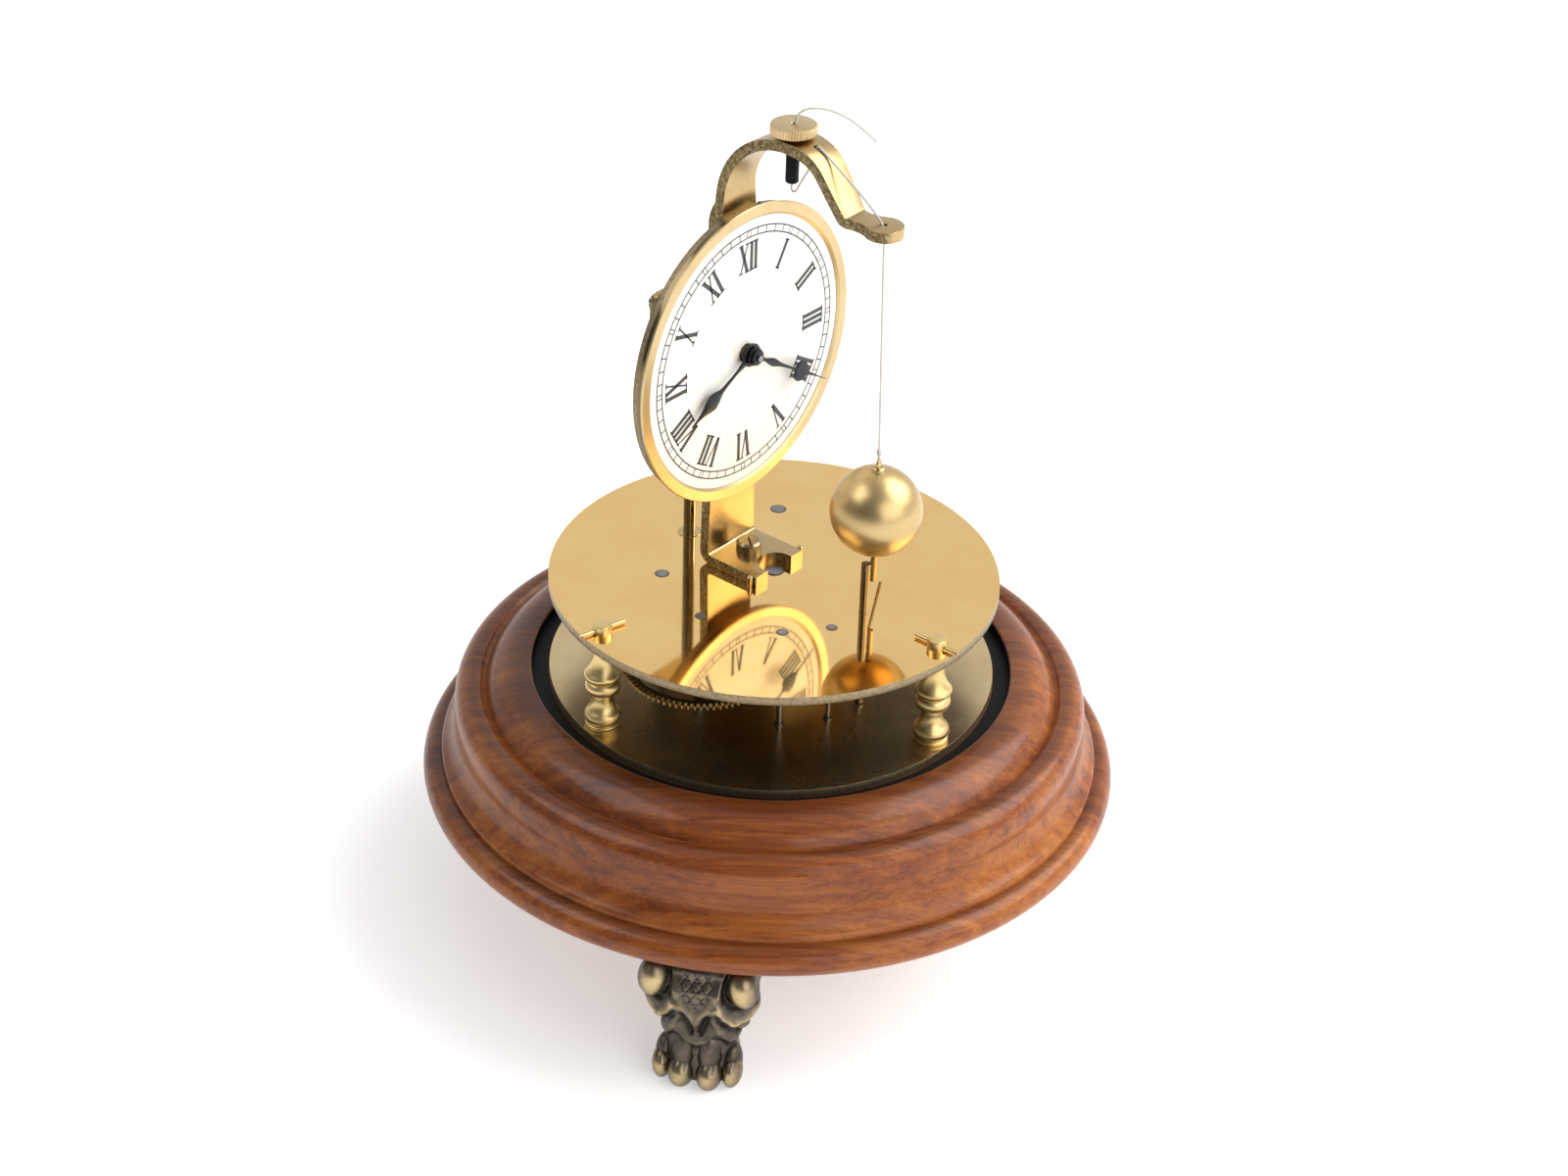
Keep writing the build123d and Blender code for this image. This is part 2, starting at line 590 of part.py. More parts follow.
def fourth_arbor():
    return train_arbor(
        FOURTH_AT, PIVOT_FOURTH, LARGE_LEAVES, THIRD_MODULE, PINION_FOURTH_PHASE,
        THIRD_LOW - 0.6, THIRD_LOW + WHEEL_THICKNESS + 0.3, SECOND_LOW, 0.9, TOP_Z + 0.1,
    )


def fifth_arbor():
    return train_arbor(
        FIFTH_AT, PIVOT_FIFTH, SMALL_LEAVES, FOURTH_MODULE, PINION_FIFTH_PHASE,
        SECOND_LOW - 0.6, SECOND_LOW + WHEEL_THICKNESS + 0.3, FIFTH_LOW, 0.65, TOP_Z + 0.1,
    )


# ---- drive arbor, crank and pendulum ----
POST_TOP = TOP_Z + 15.7
CRANK_ANGLE = 26.5
CRANK_LENGTH = 24.6
CRANK_RADIUS = 0.42
CRANK_END_Z = TOP_Z + 5.2


def drive_arbor():
    """Last arbor of the train, standing up through the plate as the crank post."""
    pinion = pinion_outline(SMALL_LEAVES, FIFTH_MODULE, PINION_DRIVE_PHASE)
    arbor = post(0.58, LOWER_UNDERSIDE + 0.2, UPPER_UNDERSIDE)
    arbor += post(PIVOT_DRIVE, UPPER_UNDERSIDE - 0.6, POST_TOP)
    arbor += Pos(0, 0, FIFTH_LOW - 0.5) * extrude(pinion, WHEEL_THICKNESS + 1.0)
    arbor += post(1.2, LOWER_TOP + 0.3, LOWER_TOP + 1.5)
    arbor = Pos(DRIVE_X, DRIVE_Y, 0) * arbor
    return arbor - crank_wire()


def crank_wire():
    """Bent wire that sweeps the pendulum round: across the post, then out and down."""
    c, s = cos(radians(CRANK_ANGLE)), sin(radians(CRANK_ANGLE))
    root_z = POST_TOP - 1.3
    route = [
        (DRIVE_X - 1.9 * c, DRIVE_Y - 1.9 * s, root_z),
        (DRIVE_X + 2.4 * c, DRIVE_Y + 2.4 * s, root_z),
        (DRIVE_X + CRANK_LENGTH * c, DRIVE_Y + CRANK_LENGTH * s, CRANK_END_Z),
    ]
    path = FilletPolyline(*route, radius=2.0)
    section = Plane(origin=route[0], z_dir=(c, s, 0)) * Circle(CRANK_RADIUS)
    return sweep(section, path=path)


BALL_AT = (3.9, -31.5, TOP_Z + 30.7)
PIN_AT = (4.2, -31.45)
EYE_AT = DRIVE_AT


def pendulum_ball():
    ball = Pos(*BALL_AT) * Sphere(BALL_RADIUS)
    ball -= post(0.9, BALL_AT[2] - BALL_RADIUS - 1, BALL_AT[2] - BALL_RADIUS + 5.0, *PIN_AT)
    ball -= post(0.9, BALL_AT[2] + BALL_RADIUS - 4.0, BALL_AT[2] + BALL_RADIUS + 1, BALL_AT[0], BALL_AT[1])
    return ball


def ball_pin():
    """Straight pin under the ball, which the crank wire pushes round."""
    return post(0.9, TOP_Z + 8.2, BALL_AT[2] - BALL_RADIUS + 5.0, *PIN_AT)


def ball_eyelet():
    """Collar and ring on top of the ball that the thread is tied to."""
    x, y, z = BALL_AT
    crown = z + BALL_RADIUS
    collar = post(1.9, crown - 0.3, crown + 0.9, x, y)
    collar += post(0.9, crown - 4.0, crown, x, y)
    shell = Pos(x, y, z) * Sphere(BALL_RADIUS) - post(0.9, crown - 6, crown + 2, x, y)
    collar -= shell
    ring = Pos(x, y, crown + 1.9) * Rot(90, 0, 0) * Torus(1.3, 0.5)
    return collar + ring


THREAD_LOW = BALL_AT[2] + BALL_RADIUS + 3.75
PENDULUM_PIVOT = EYE_TOP - 1.9


def hanging_thread():
    """Thread from the eye to the eyelet, straight under the ball's weight."""
    high = (EYE_AT[0], EYE_AT[1], PENDULUM_PIVOT - 0.4)
    low = (BALL_AT[0], BALL_AT[1], THREAD_LOW)
    line = Line(high, low)
    return sweep(Plane(origin=high, z_dir=line % 0) * Circle(THREAD_RADIUS), path=line)


# ---- bracket: one bent strip from the plate, up behind the dial and over to the eye ----
STRIP_BACK = STRIP_FRONT + STRIP_THICKNESS
STRIP_MIDDLE = STRIP_FRONT + STRIP_THICKNESS / 2
TAB_HALF_WIDTH = 10.2
TAB_FRONT = -1.8
THUMB_AT = (0.0, -1.3)
THUMB_SHANK = 1.82
GUIDE_HOLE_AT = (0.0, -9.0)
MINUTE_ARBOR_RADIUS = 0.9
MOTION_DISTANCE = 10.0
CROWN_CENTRE = (-2.5, TOP_Z + 110.7)
CASE_SCREW_AT = tuple((x, DIAL_HEIGHT + z) for x in (-5.0, 5.0) for z in (-29.0, 29.0))
BRIDGE_SCREW_AT = ((0.0, DIAL_HEIGHT - 22.0), (0.0, DIAL_HEIGHT + 35.0))
COCK_PILLAR_AT = ((-4.7, DIAL_HEIGHT + 7.2), (4.7, DIAL_HEIGHT + 7.2))


def pendulum_bracket():
    """Brass strip bent in four places and tapering from the foot tab to the eye."""
    half = STRIP_THICKNESS / 2
    foot = Line((TAB_FRONT, TOP_Z + half), (STRIP_MIDDLE - 2.6, TOP_Z + half))
    bend = JernArc(foot @ 1, foot % 1, 2.6, 90)
    upright = Line(bend @ 1, (STRIP_MIDDLE, CROWN_CENTRE[1]))
    crown = JernArc(upright @ 1, upright % 1, STRIP_MIDDLE - CROWN_CENTRE[0], 107.5)
    shoulder = JernArc(crown @ 1, crown % 1, 10.5, 36.5)
    drop = (shoulder @ 1).Y - (EYE_TOP - half) - 2.3 * (1 - cos(radians(54)))
    descent = PolarLine(shoulder @ 1, drop / sin(radians(54)), 180 + 54)
    valley = JernArc(descent @ 1, descent % 1, 2.3, -54)
    tip = Line(valley @ 1, (-40.0, (valley @ 1).Y))
    path = foot + bend + upright + crown + shoulder + descent + valley + tip
    strip = extrude(Plane.YZ * trace(path, STRIP_THICKNESS), 12.0, both=True)

    split = TOP_Z + 121.0
    elevation = ((0.0, TAB_HALF_WIDTH), (3.0, TAB_HALF_WIDTH), (106.5, 7.0), (113.7, 6.3), (121.0, 6.05))
    outline = [(half_width, TOP_Z + z) for z, half_width in elevation]
    outline += [(-x, z) for x, z in reversed(outline)]
    lower = extrude(Plane.XZ * make_face(Polyline(*outline, close=True)), 60, both=True)
    lower -= block(-20, 20, -60, -2.5, TOP_Z + 60, split + 1)

    plan_points = ((30.0, 6.05), (14.8, 6.05), (0.0, 5.75), (-12.0, 5.1), (-19.0, 4.6), (-21.5, 4.3))
    right = [(half_width, y) for y, half_width in plan_points]
    eye_x, eye_y = EYE_AT
    waist = (3.5, -26.2)
    neck = (4.3, eye_y + 2.9)
    plan_edges = [
        Polyline(*right),
        Polyline(*[(-x, y) for x, y in right]),
        ThreePointArc(right[-1], waist, neck),
        ThreePointArc((-right[-1][0], right[-1][1]), (-waist[0], waist[1]), (-neck[0], neck[1])),
        Line(right[0], (-right[0][0], right[0][1])),
        ThreePointArc(neck, (eye_x, eye_y - 5.2), (-neck[0], neck[1])),
    ]
    plan = make_face(Wire([edge for curve in plan_edges for edge in curve.edges()]))
    upper = extrude(Pos(0, 0, TOP_Z + 60) * plan, 100)
    upper -= block(-20, 20, -2.5, 60, TOP_Z, split)
    body = strip & (lower + upper)

    body -= post(5.3, TOP_Z - 1, TOP_Z + 6, 0, -0.5)
    body -= post(1.55, TOP_Z - 1, TOP_Z + 6, *BRACKET_SCREW_AT)
    body -= post(0.8, EYE_TOP - 10, EYE_TOP + 3, eye_x, eye_y)
    body -= post(THUMB_SHANK + RUNNING_GAP, TOP_Z + 120, TOP_Z + 140, *THUMB_AT)
    body -= post(0.8, TOP_Z + 118, TOP_Z + 140, *GUIDE_HOLE_AT)
    body -= rod_y(MINUTE_ARBOR_RADIUS + RUNNING_GAP, STRIP_FRONT - 1, STRIP_BACK + 1, 0, DIAL_HEIGHT)
    body -= rod_y(1.0, STRIP_FRONT - 1, STRIP_BACK + 1, 0, DIAL_HEIGHT - MOTION_DISTANCE)
    for x, z in CASE_SCREW_AT:
        body -= rod_y(1.0, STRIP_FRONT - 1, STRIP_BACK - 0.6, x, z)
    for x, z in BRIDGE_SCREW_AT:
        body -= rod_y(1.0, STRIP_BACK - 2.4, STRIP_BACK + 1, x, z)
    return body


BRIDGE_THICKNESS = 2.2
BRIDGE_BACK = STRIP_BACK + BRIDGE_THICKNESS
BRIDGE_HALF_WIDTH = 6.6


def rear_bridge():
    """Plate with a rounded top behind the strip, which carries the pillars of the motion cock."""
    top = TOP_Z + 109.2 - BRIDGE_HALF_WIDTH
    low = DIAL_HEIGHT - 30.0
    plate = block(-BRIDGE_HALF_WIDTH, BRIDGE_HALF_WIDTH, STRIP_BACK, BRIDGE_BACK, low, top)
    plate += rod_y(BRIDGE_HALF_WIDTH, STRIP_BACK, BRIDGE_BACK, 0, top)
    plate -= rod_y(MINUTE_ARBOR_RADIUS + RUNNING_GAP, STRIP_BACK - 1, BRIDGE_BACK + 1, 0, DIAL_HEIGHT)
    plate -= rod_y(1.0, STRIP_BACK - 1, BRIDGE_BACK + 1, 0, DIAL_HEIGHT - MOTION_DISTANCE)
    for x, z in BRIDGE_SCREW_AT:
        plate -= rod_y(1.0, STRIP_BACK - 1, BRIDGE_BACK + 1, x, z)
    for x, z in COCK_PILLAR_AT:
        plate -= rod_y(1.2, STRIP_BACK - 1, BRIDGE_BACK + 1, x, z)
    return plate


def bridge_screw(place):
    """Slotted screw: head outside the bridge or the cock, shank into the piece in front."""
    x, y, z = place
    return Pos(x, y, z) * Rot(-90, 0, 0) * slotted_screw(2.1, 1.3, 1.0, 4.5)


def bridge_screws():
    places = [(x, BRIDGE_BACK, z) for x, z in BRIDGE_SCREW_AT]
    places += [(x, COCK_FRONT + COCK_THICKNESS, z) for x, z in COCK_PILLAR_AT]
    return [bridge_screw(place) for place in places]


def thumb_screw():
    """Knurled head on a bored, threaded shank."""
    x, y = THUMB_AT
    low, high = TOP_Z + 133.0, TOP_Z + 135.6
    knurls = 48
    head = extrude(tooth_ring(knurls, 2 * 6.0 / knurls, 0.8, 0.9, 0.9, 0.35, 0.0), high - low)
    head = Pos(0, 0, low) * head & post(6.3, low, high)
    shank = post(THUMB_SHANK - 0.16, TOP_Z + 119.2, low)
    screw = head + shank + post(2.9, low - 0.35, low)
    pitch = 0.7
    turns = int(13.0 / pitch)
    for index in range(turns):
        z = TOP_Z + 119.5 + index * pitch
        screw += Pos(0, 0, z + pitch / 2) * Cylinder(THUMB_SHANK, 0.34)
    screw -= post(0.6, TOP_Z + 110, high + 1)
    return Pos(x, y, 0) * screw


def thread_tube(route, radii):
    """Thin round thread along straight runs joined by tangent arcs."""
    path = FilletPolyline(*route, radius=radii) if radii else Line(*route)
    start = Plane(origin=path @ 0, z_dir=path % 0)
    return sweep(start * Circle(THREAD_RADIUS), path=path)


def arc_radii(route):
    """Largest tangent radii: 0.45 of the shorter run over the tangent of half the turn."""
    radii = []
    for before, corner, after in zip(route, route[1:], route[2:]):
        run_in = Vector(*corner) - Vector(*before)
        run_out = Vector(*after) - Vector(*corner)
        turn = radians(run_in.get_angle(run_out))
        radii.append(0.45 * min(run_in.length, run_out.length) / tan(turn / 2))
    return radii


# The thread rises through the eye, lies over the arch, dips through the guide hole, comes
# up the bore of the thumb screw and ends in a short drooping tail.
GUIDE_ROUTE = (
    (0.0, DRIVE_Y, PENDULUM_PIVOT + 0.1),
    (0.0, DRIVE_Y, EYE_TOP + 0.75),
    (0.0, -10.9, TOP_Z + 131.15),
    (0.0, -9.25, TOP_Z + 131.75),
    (0.0, -8.8, TOP_Z + 130.15),
    (0.0, -8.7, TOP_Z + 127.6),
    (0.0, -4.9, TOP_Z + 121.2),
    (0.0, -3.3, TOP_Z + 118.0),
    (0.0, -2.4, TOP_Z + 116.6),
    (0.0, -1.15, TOP_Z + 116.95),
    (0.0, -1.3, TOP_Z + 119.2),
    (0.05, -1.35, TOP_Z + 137.0),
    (1.6, -3.2, TOP_Z + 139.6),
    (4.6, -7.0, TOP_Z + 140.1),
    (8.2, -11.4, TOP_Z + 138.1),
    (11.2, -15.2, TOP_Z + 134.7),
    (13.4, -18.0, TOP_Z + 131.3),
)


# ---- dial case, bezel and dial ----
def bracket_screw():
    x, y = BRACKET_SCREW_AT
    screw = slotted_screw(3.55, 3.3, 1.5, STRIP_THICKNESS + PLATE_THICKNESS - 0.1, 0.8)
    return Pos(x, y, TOP_Z + STRIP_THICKNESS) * Rot(0, 0, 52) * screw


def bracket_dowel(place):
    dowel = post(DOWEL_RADIUS, UPPER_UNDERSIDE, TOP_Z + STRIP_THICKNESS + 0.2, *place)
    return chamfer(dowel.edges().filter_by(GeomType.CIRCLE).sort_by(Axis.Z)[-1], 0.25)


CASE_FRONT = 12.6
CASE_BACK = STRIP_FRONT
WEB_FRONT = CASE_BACK - 0.8
DIAL_DISC_RADIUS = 40.3
DIAL_DISC_FRONT = CASE_FRONT
DIAL_DISC_BACK = CASE_FRONT + 0.8


def dial_case():
    """Shallow drum behind the dial with a ledge for the disc, an open web and a polished notch."""
    case = rod_y(CASE_RADIUS, CASE_FRONT, CASE_BACK, 0, DIAL_HEIGHT)
    case -= rod_y(DIAL_DISC_RADIUS, CASE_FRONT - 1, DIAL_DISC_BACK, 0, DIAL_HEIGHT)
    case -= rod_y(39.3, CASE_FRONT - 1, WEB_FRONT, 0, DIAL_HEIGHT)
    case -= rod_y(22.0, CASE_FRONT - 1, CASE_BACK + 1, 0, DIAL_HEIGHT)
    for x, z in CASE_SCREW_AT:
        case -= rod_y(1.05, WEB_FRONT - 1, CASE_BACK + 1, x, z)
    top = DIAL_HEIGHT + CASE_RADIUS
    return case - block(-7.2, 7.2, CASE_FRONT + 0.6, CASE_BACK + 1, top - 0.9, top + 2)


def case_screws():
    screw = Rot(90, 0, 0) * slotted_screw(2.0, 0.9, 1.0, 3.1)
    return [Pos(x, WEB_FRONT, z) * screw for x, z in CASE_SCREW_AT]


def dial_bezel():
    """Flat ring with a bright chamfer round the dial and a rounded outer edge."""
    front, back = DIAL_FRONT, CASE_FRONT
    face_inner = DIAL_OPENING_RADIUS + 0.75
    outline = [
        Edge.make_line((DIAL_OPENING_RADIUS, 0, -back), (DIAL_OPENING_RADIUS, 0, -front - 0.55)),
        Edge.make_line((DIAL_OPENING_RADIUS, 0, -front - 0.55), (face_inner, 0, -front)),
        Edge.make_line((face_inner, 0, -front), (BEZEL_RADIUS - 0.45, 0, -front)),
        Edge.make_three_point_arc(
            (BEZEL_RADIUS - 0.45, 0, -front),
            (BEZEL_RADIUS, 0, -(front + back) / 2),
            (BEZEL_RADIUS - 0.45, 0, -back),
        ),
        Edge.make_line((BEZEL_RADIUS - 0.45, 0, -back), (DIAL_OPENING_RADIUS, 0, -back)),
    ]
    ring = turned(*outline)
    return Pos(0, 0, DIAL_HEIGHT) * Rot(90, 0, 0) * ring


def dial_disc():
    disc = rod_y(DIAL_DISC_RADIUS, DIAL_DISC_FRONT, DIAL_DISC_BACK, 0, DIAL_HEIGHT)
    return disc - rod_y(2.7, 10, 20, 0, DIAL_HEIGHT)


# ---- motion work and hands ----
CANNON_MODULE = 2 * MOTION_DISTANCE / (CANNON_LEAVES + MINUTE_WHEEL_TEETH)
HOUR_MODULE = 2 * MOTION_DISTANCE / (MINUTE_PINION_LEAVES + HOUR_TEETH)
MINUTE_WHEEL_FRONT = 14.8
MINUTE_WHEEL_BACK = 15.6
HOUR_WHEEL_FRONT = 13.7
HOUR_WHEEL_BACK = 14.4
CANNON_BORE = MINUTE_ARBOR_RADIUS + RUNNING_GAP
CANNON_RADIUS = 1.45
HOUR_BORE = CANNON_RADIUS + RUNNING_GAP
HOUR_PIPE = 2.25
HOUR_HAND_BACK = 10.7
HOUR_HAND_FRONT = 10.2
MINUTE_HAND_BACK = 9.3
MINUTE_HAND_FRONT = 8.8
ARBOR_FRONT = 7.2


def motion_gear(outline, front, back, drop=0.0):
    """Gear drawn face-on as (x, height), between two depths."""
    solid = extrude(Plane.XZ * outline, -(back - front))
    return Pos(0, front, DIAL_HEIGHT - drop) * solid


def cannon_pinion():
    down = -90.0
    leaves = pinion_outline(CANNON_LEAVES, CANNON_MODULE, down + 180.0 / CANNON_LEAVES)
    body = motion_gear(leaves, MINUTE_WHEEL_FRONT - 0.2, MINUTE_WHEEL_BACK + 0.3)
    body += rod_y(CANNON_RADIUS, MINUTE_HAND_FRONT, MINUTE_WHEEL_BACK + 0.3, 0, DIAL_HEIGHT)
    return body - rod_y(CANNON_BORE, 0, 30, 0, DIAL_HEIGHT)


def minute_wheel():
    up = 90.0
    ring = wheel_outline(MINUTE_WHEEL_TEETH, CANNON_MODULE, up)
    leaves = pinion_outline(MINUTE_PINION_LEAVES, HOUR_MODULE, up + 180.0 / MINUTE_PINION_LEAVES)
    body = motion_gear(ring, MINUTE_WHEEL_FRONT, MINUTE_WHEEL_BACK, MOTION_DISTANCE)
    body += motion_gear(leaves, HOUR_WHEEL_FRONT - 0.15, MINUTE_WHEEL_FRONT, MOTION_DISTANCE)
    return body - rod_y(1.0 + RUNNING_GAP, 0, 30, 0, DIAL_HEIGHT - MOTION_DISTANCE)


def motion_stud():
    """Fixed stud that the minute wheel turns on."""
    z = DIAL_HEIGHT - MOTION_DISTANCE
    return rod_y(1.0, HOUR_WHEEL_FRONT - 0.1, BRIDGE_BACK, 0, z) + rod_y(1.7, STRIP_FRONT - 0.3, STRIP_FRONT, 0, z)


def hour_wheel():
    ring = wheel_outline(HOUR_TEETH, HOUR_MODULE, -90.0)
    body = motion_gear(ring, HOUR_WHEEL_FRONT, HOUR_WHEEL_BACK)
    body += rod_y(HOUR_PIPE, HOUR_HAND_FRONT - 0.1, HOUR_WHEEL_BACK, 0, DIAL_HEIGHT)
    return body - rod_y(HOUR_BORE, 0, 30, 0, DIAL_HEIGHT)


def hand_outline(reach, hub, waist, spade_centre, spade_half, spade_length):
    """Half outline of a spade hand along +X, mirrored."""
    shoulder = spade_centre - spade_length * 0.5
    point = spade_centre + spade_length * 0.5
    upper = [
        Edge.make_line((0, 0), (0, hub)),
        Edge.make_line((0, hub), (hub * 1.2, waist)),
        Edge.make_line((hub * 1.2, waist), (shoulder, waist * 0.7)),
        Edge.make_three_point_arc(
            (shoulder, waist * 0.7), (shoulder - 0.25 * spade_half, spade_half * 0.75), (spade_centre - 0.1, spade_half)
        ),
        Edge.make_three_point_arc(
            (spade_centre - 0.1, spade_half), (spade_centre + 0.3 * spade_length, spade_half * 0.5), (point, waist * 0.5)
        ),
        Edge.make_line((point, waist * 0.5), (reach, 0.12)),
        Edge.make_line((reach, 0.12), (reach, 0)),
        Edge.make_line((reach, 0), (0, 0)),
    ]
    half = make_face(Wire(upper))
    return half + mirror(half, Plane.XZ)


def hand(outline, angle, front, back, hub_radius, bore):
    """Flat hand with a thicker boss, turned to its angle from the XII measured clockwise."""
    blade = extrude(Rot(0, 0, 90 - angle) * outline, back - front)
    blade += Cylinder(hub_radius, back - front, align=(Align.CENTER, Align.CENTER, Align.MIN))
    solid = Pos(0, back, DIAL_HEIGHT) * Rot(90, 0, 0) * blade
    return solid - rod_y(bore, 0, 30, 0, DIAL_HEIGHT)


HOUR_HAND_ANGLE = 242.0
MINUTE_HAND_ANGLE = 121.0


def hour_hand():
    outline = hand_outline(27.5, 1.6, 0.75, 19.2, 3.1, 6.4)
    body = hand(outline, HOUR_HAND_ANGLE, HOUR_HAND_FRONT, HOUR_HAND_BACK, 3.3, HOUR_PIPE)
    body += rod_y(3.0, HOUR_HAND_BACK, HOUR_HAND_BACK + 0.9, 0, DIAL_HEIGHT) - rod_y(HOUR_PIPE, 0, 30, 0, DIAL_HEIGHT)
    return body


def minute_hand():
    outline = hand_outline(36.6, 1.3, 0.65, 25.6, 3.2, 7.0)
    return hand(outline, MINUTE_HAND_ANGLE, MINUTE_HAND_FRONT, MINUTE_HAND_BACK, 2.6, CANNON_RADIUS)


def hand_collet():
    """Domed collet pressed on the cannon pipe in front of the minute hand."""
    body = rod_y(2.3, 7.9, MINUTE_HAND_FRONT, 0, DIAL_HEIGHT)
    body = chamfer(body.edges().filter_by(GeomType.CIRCLE).sort_by(Axis.Y)[0], 0.4)
    return body - rod_y(MINUTE_ARBOR_RADIUS + RUNNING_GAP, 0, 30, 0, DIAL_HEIGHT)


# ---- drive from the movement up to the dial ----
BEVEL_RADIUS = 6.0
BEVEL_FACE = 2.4
APEX = (DIAL_DRIVE_AT[0], DIAL_DRIVE_AT[1], DIAL_HEIGHT)


def bevel_gear(phase):
    """Mitre gear on +Z below its apex at the origin: large end lowest, teeth scaled to the apex."""
    module = 2 * BEVEL_RADIUS / BEVEL_TEETH
    large = tooth_ring(BEVEL_TEETH, module, 0.62, 0.8, 1.1, 0.3, phase)
    small_scale = (BEVEL_RADIUS - BEVEL_FACE) / BEVEL_RADIUS
    small = scale(large, small_scale)
    gear = loft([Pos(0, 0, -BEVEL_RADIUS) * large, Pos(0, 0, -BEVEL_RADIUS + BEVEL_FACE) * small], ruled=True)
    return gear


def lower_bevel():
    gear = bevel_gear(180.0 / BEVEL_TEETH + 90.0)
    gear += post(3.2, -BEVEL_RADIUS - 2.6, -BEVEL_RADIUS)
    gear -= post(DIAL_ROD, -20, 20)
    return Pos(*APEX) * gear


def upper_bevel():
    gear = bevel_gear(90.0)
    gear += post(2.6, -BEVEL_RADIUS - 1.6, -BEVEL_RADIUS)
    gear -= post(MINUTE_ARBOR_RADIUS, -20, 20)
    return Pos(*APEX) * Rot(-90, 0, 0) * gear


def dial_drive_arbor():
    """Tall steel rod that carries the hour-turn drive up behind the dial."""
    x, y = DIAL_DRIVE_AT
    leaves = pinion_outline(LARGE_LEAVES, GREAT_MODULE, PINION_DIAL_PHASE)
    arbor = post(PIVOT_DIAL, LOWER_UNDERSIDE + 0.2, UPPER_UNDERSIDE - 1.0)
    arbor += Pos(0, 0, GREAT_LOW - 0.7) * extrude(leaves, GREAT_THICKNESS + 1.2)
    arbor += post(DIAL_ROD, UPPER_UNDERSIDE - 1.0, DIAL_HEIGHT - 3.4)
    return Pos(x, y, 0) * arbor


def dial_arbor_bush():
    x, y = DIAL_DRIVE_AT
    return post(3.4, UPPER_UNDERSIDE, TOP_Z + 0.15, x, y) - post(DIAL_ROD + RUNNING_GAP, 90, 120, x, y)


def minute_arbor():
    """Horizontal arbor through the upright to the front of the dial."""
    back = COCK_FRONT + 1.8
    arbor = rod_y(MINUTE_ARBOR_RADIUS, ARBOR_FRONT, back, 0, DIAL_HEIGHT)
    return arbor + rod_y(2.0, BRIDGE_BACK + 0.3, BRIDGE_BACK + 1.2, 0, DIAL_HEIGHT)


COCK_FRONT = 39.2
COCK_THICKNESS = 2.0
SHELF_TOP = DIAL_HEIGHT - 11.5


def motion_cock():
    """Bent plate behind the dial that carries both upper bearings."""
    plate = block(-7.4, 7.4, COCK_FRONT, COCK_FRONT + COCK_THICKNESS, SHELF_TOP - COCK_THICKNESS, DIAL_HEIGHT + 10.5)
    shelf = block(-5.5, 5.5, 27.0, COCK_FRONT + COCK_THICKNESS, SHELF_TOP - COCK_THICKNESS, SHELF_TOP)
    cock = plate + shelf
    corners = cock.edges().filter_by(Axis.Y).sort_by(Axis.Z)[-2:]
    cock = fillet(corners, 3.0)
    cock -= rod_y(MINUTE_ARBOR_RADIUS + RUNNING_GAP, COCK_FRONT - 1, COCK_FRONT + 5, 0, DIAL_HEIGHT)
    cock -= post(DIAL_ROD + RUNNING_GAP, SHELF_TOP - 5, SHELF_TOP + 5, *DIAL_DRIVE_AT)
    for x, z in COCK_PILLAR_AT:
        cock -= rod_y(1.0, COCK_FRONT - 1, COCK_FRONT + 5, x, z)
    return cock


def cock_pillar(place):
    """Turned distance pillar riveted into the bridge and tapped for its screw."""
    x, z = place
    body = rod_y(2.2, BRIDGE_BACK, COCK_FRONT, x, z) + rod_y(1.2, STRIP_BACK, BRIDGE_BACK, x, z)
    waist = rod_y(3, BRIDGE_BACK + 3, COCK_FRONT - 3, x, z) - rod_y(1.7, 20, 45, x, z)
    return body - waist - rod_y(1.0, COCK_FRONT - 2.5, COCK_FRONT + 1, x, z)


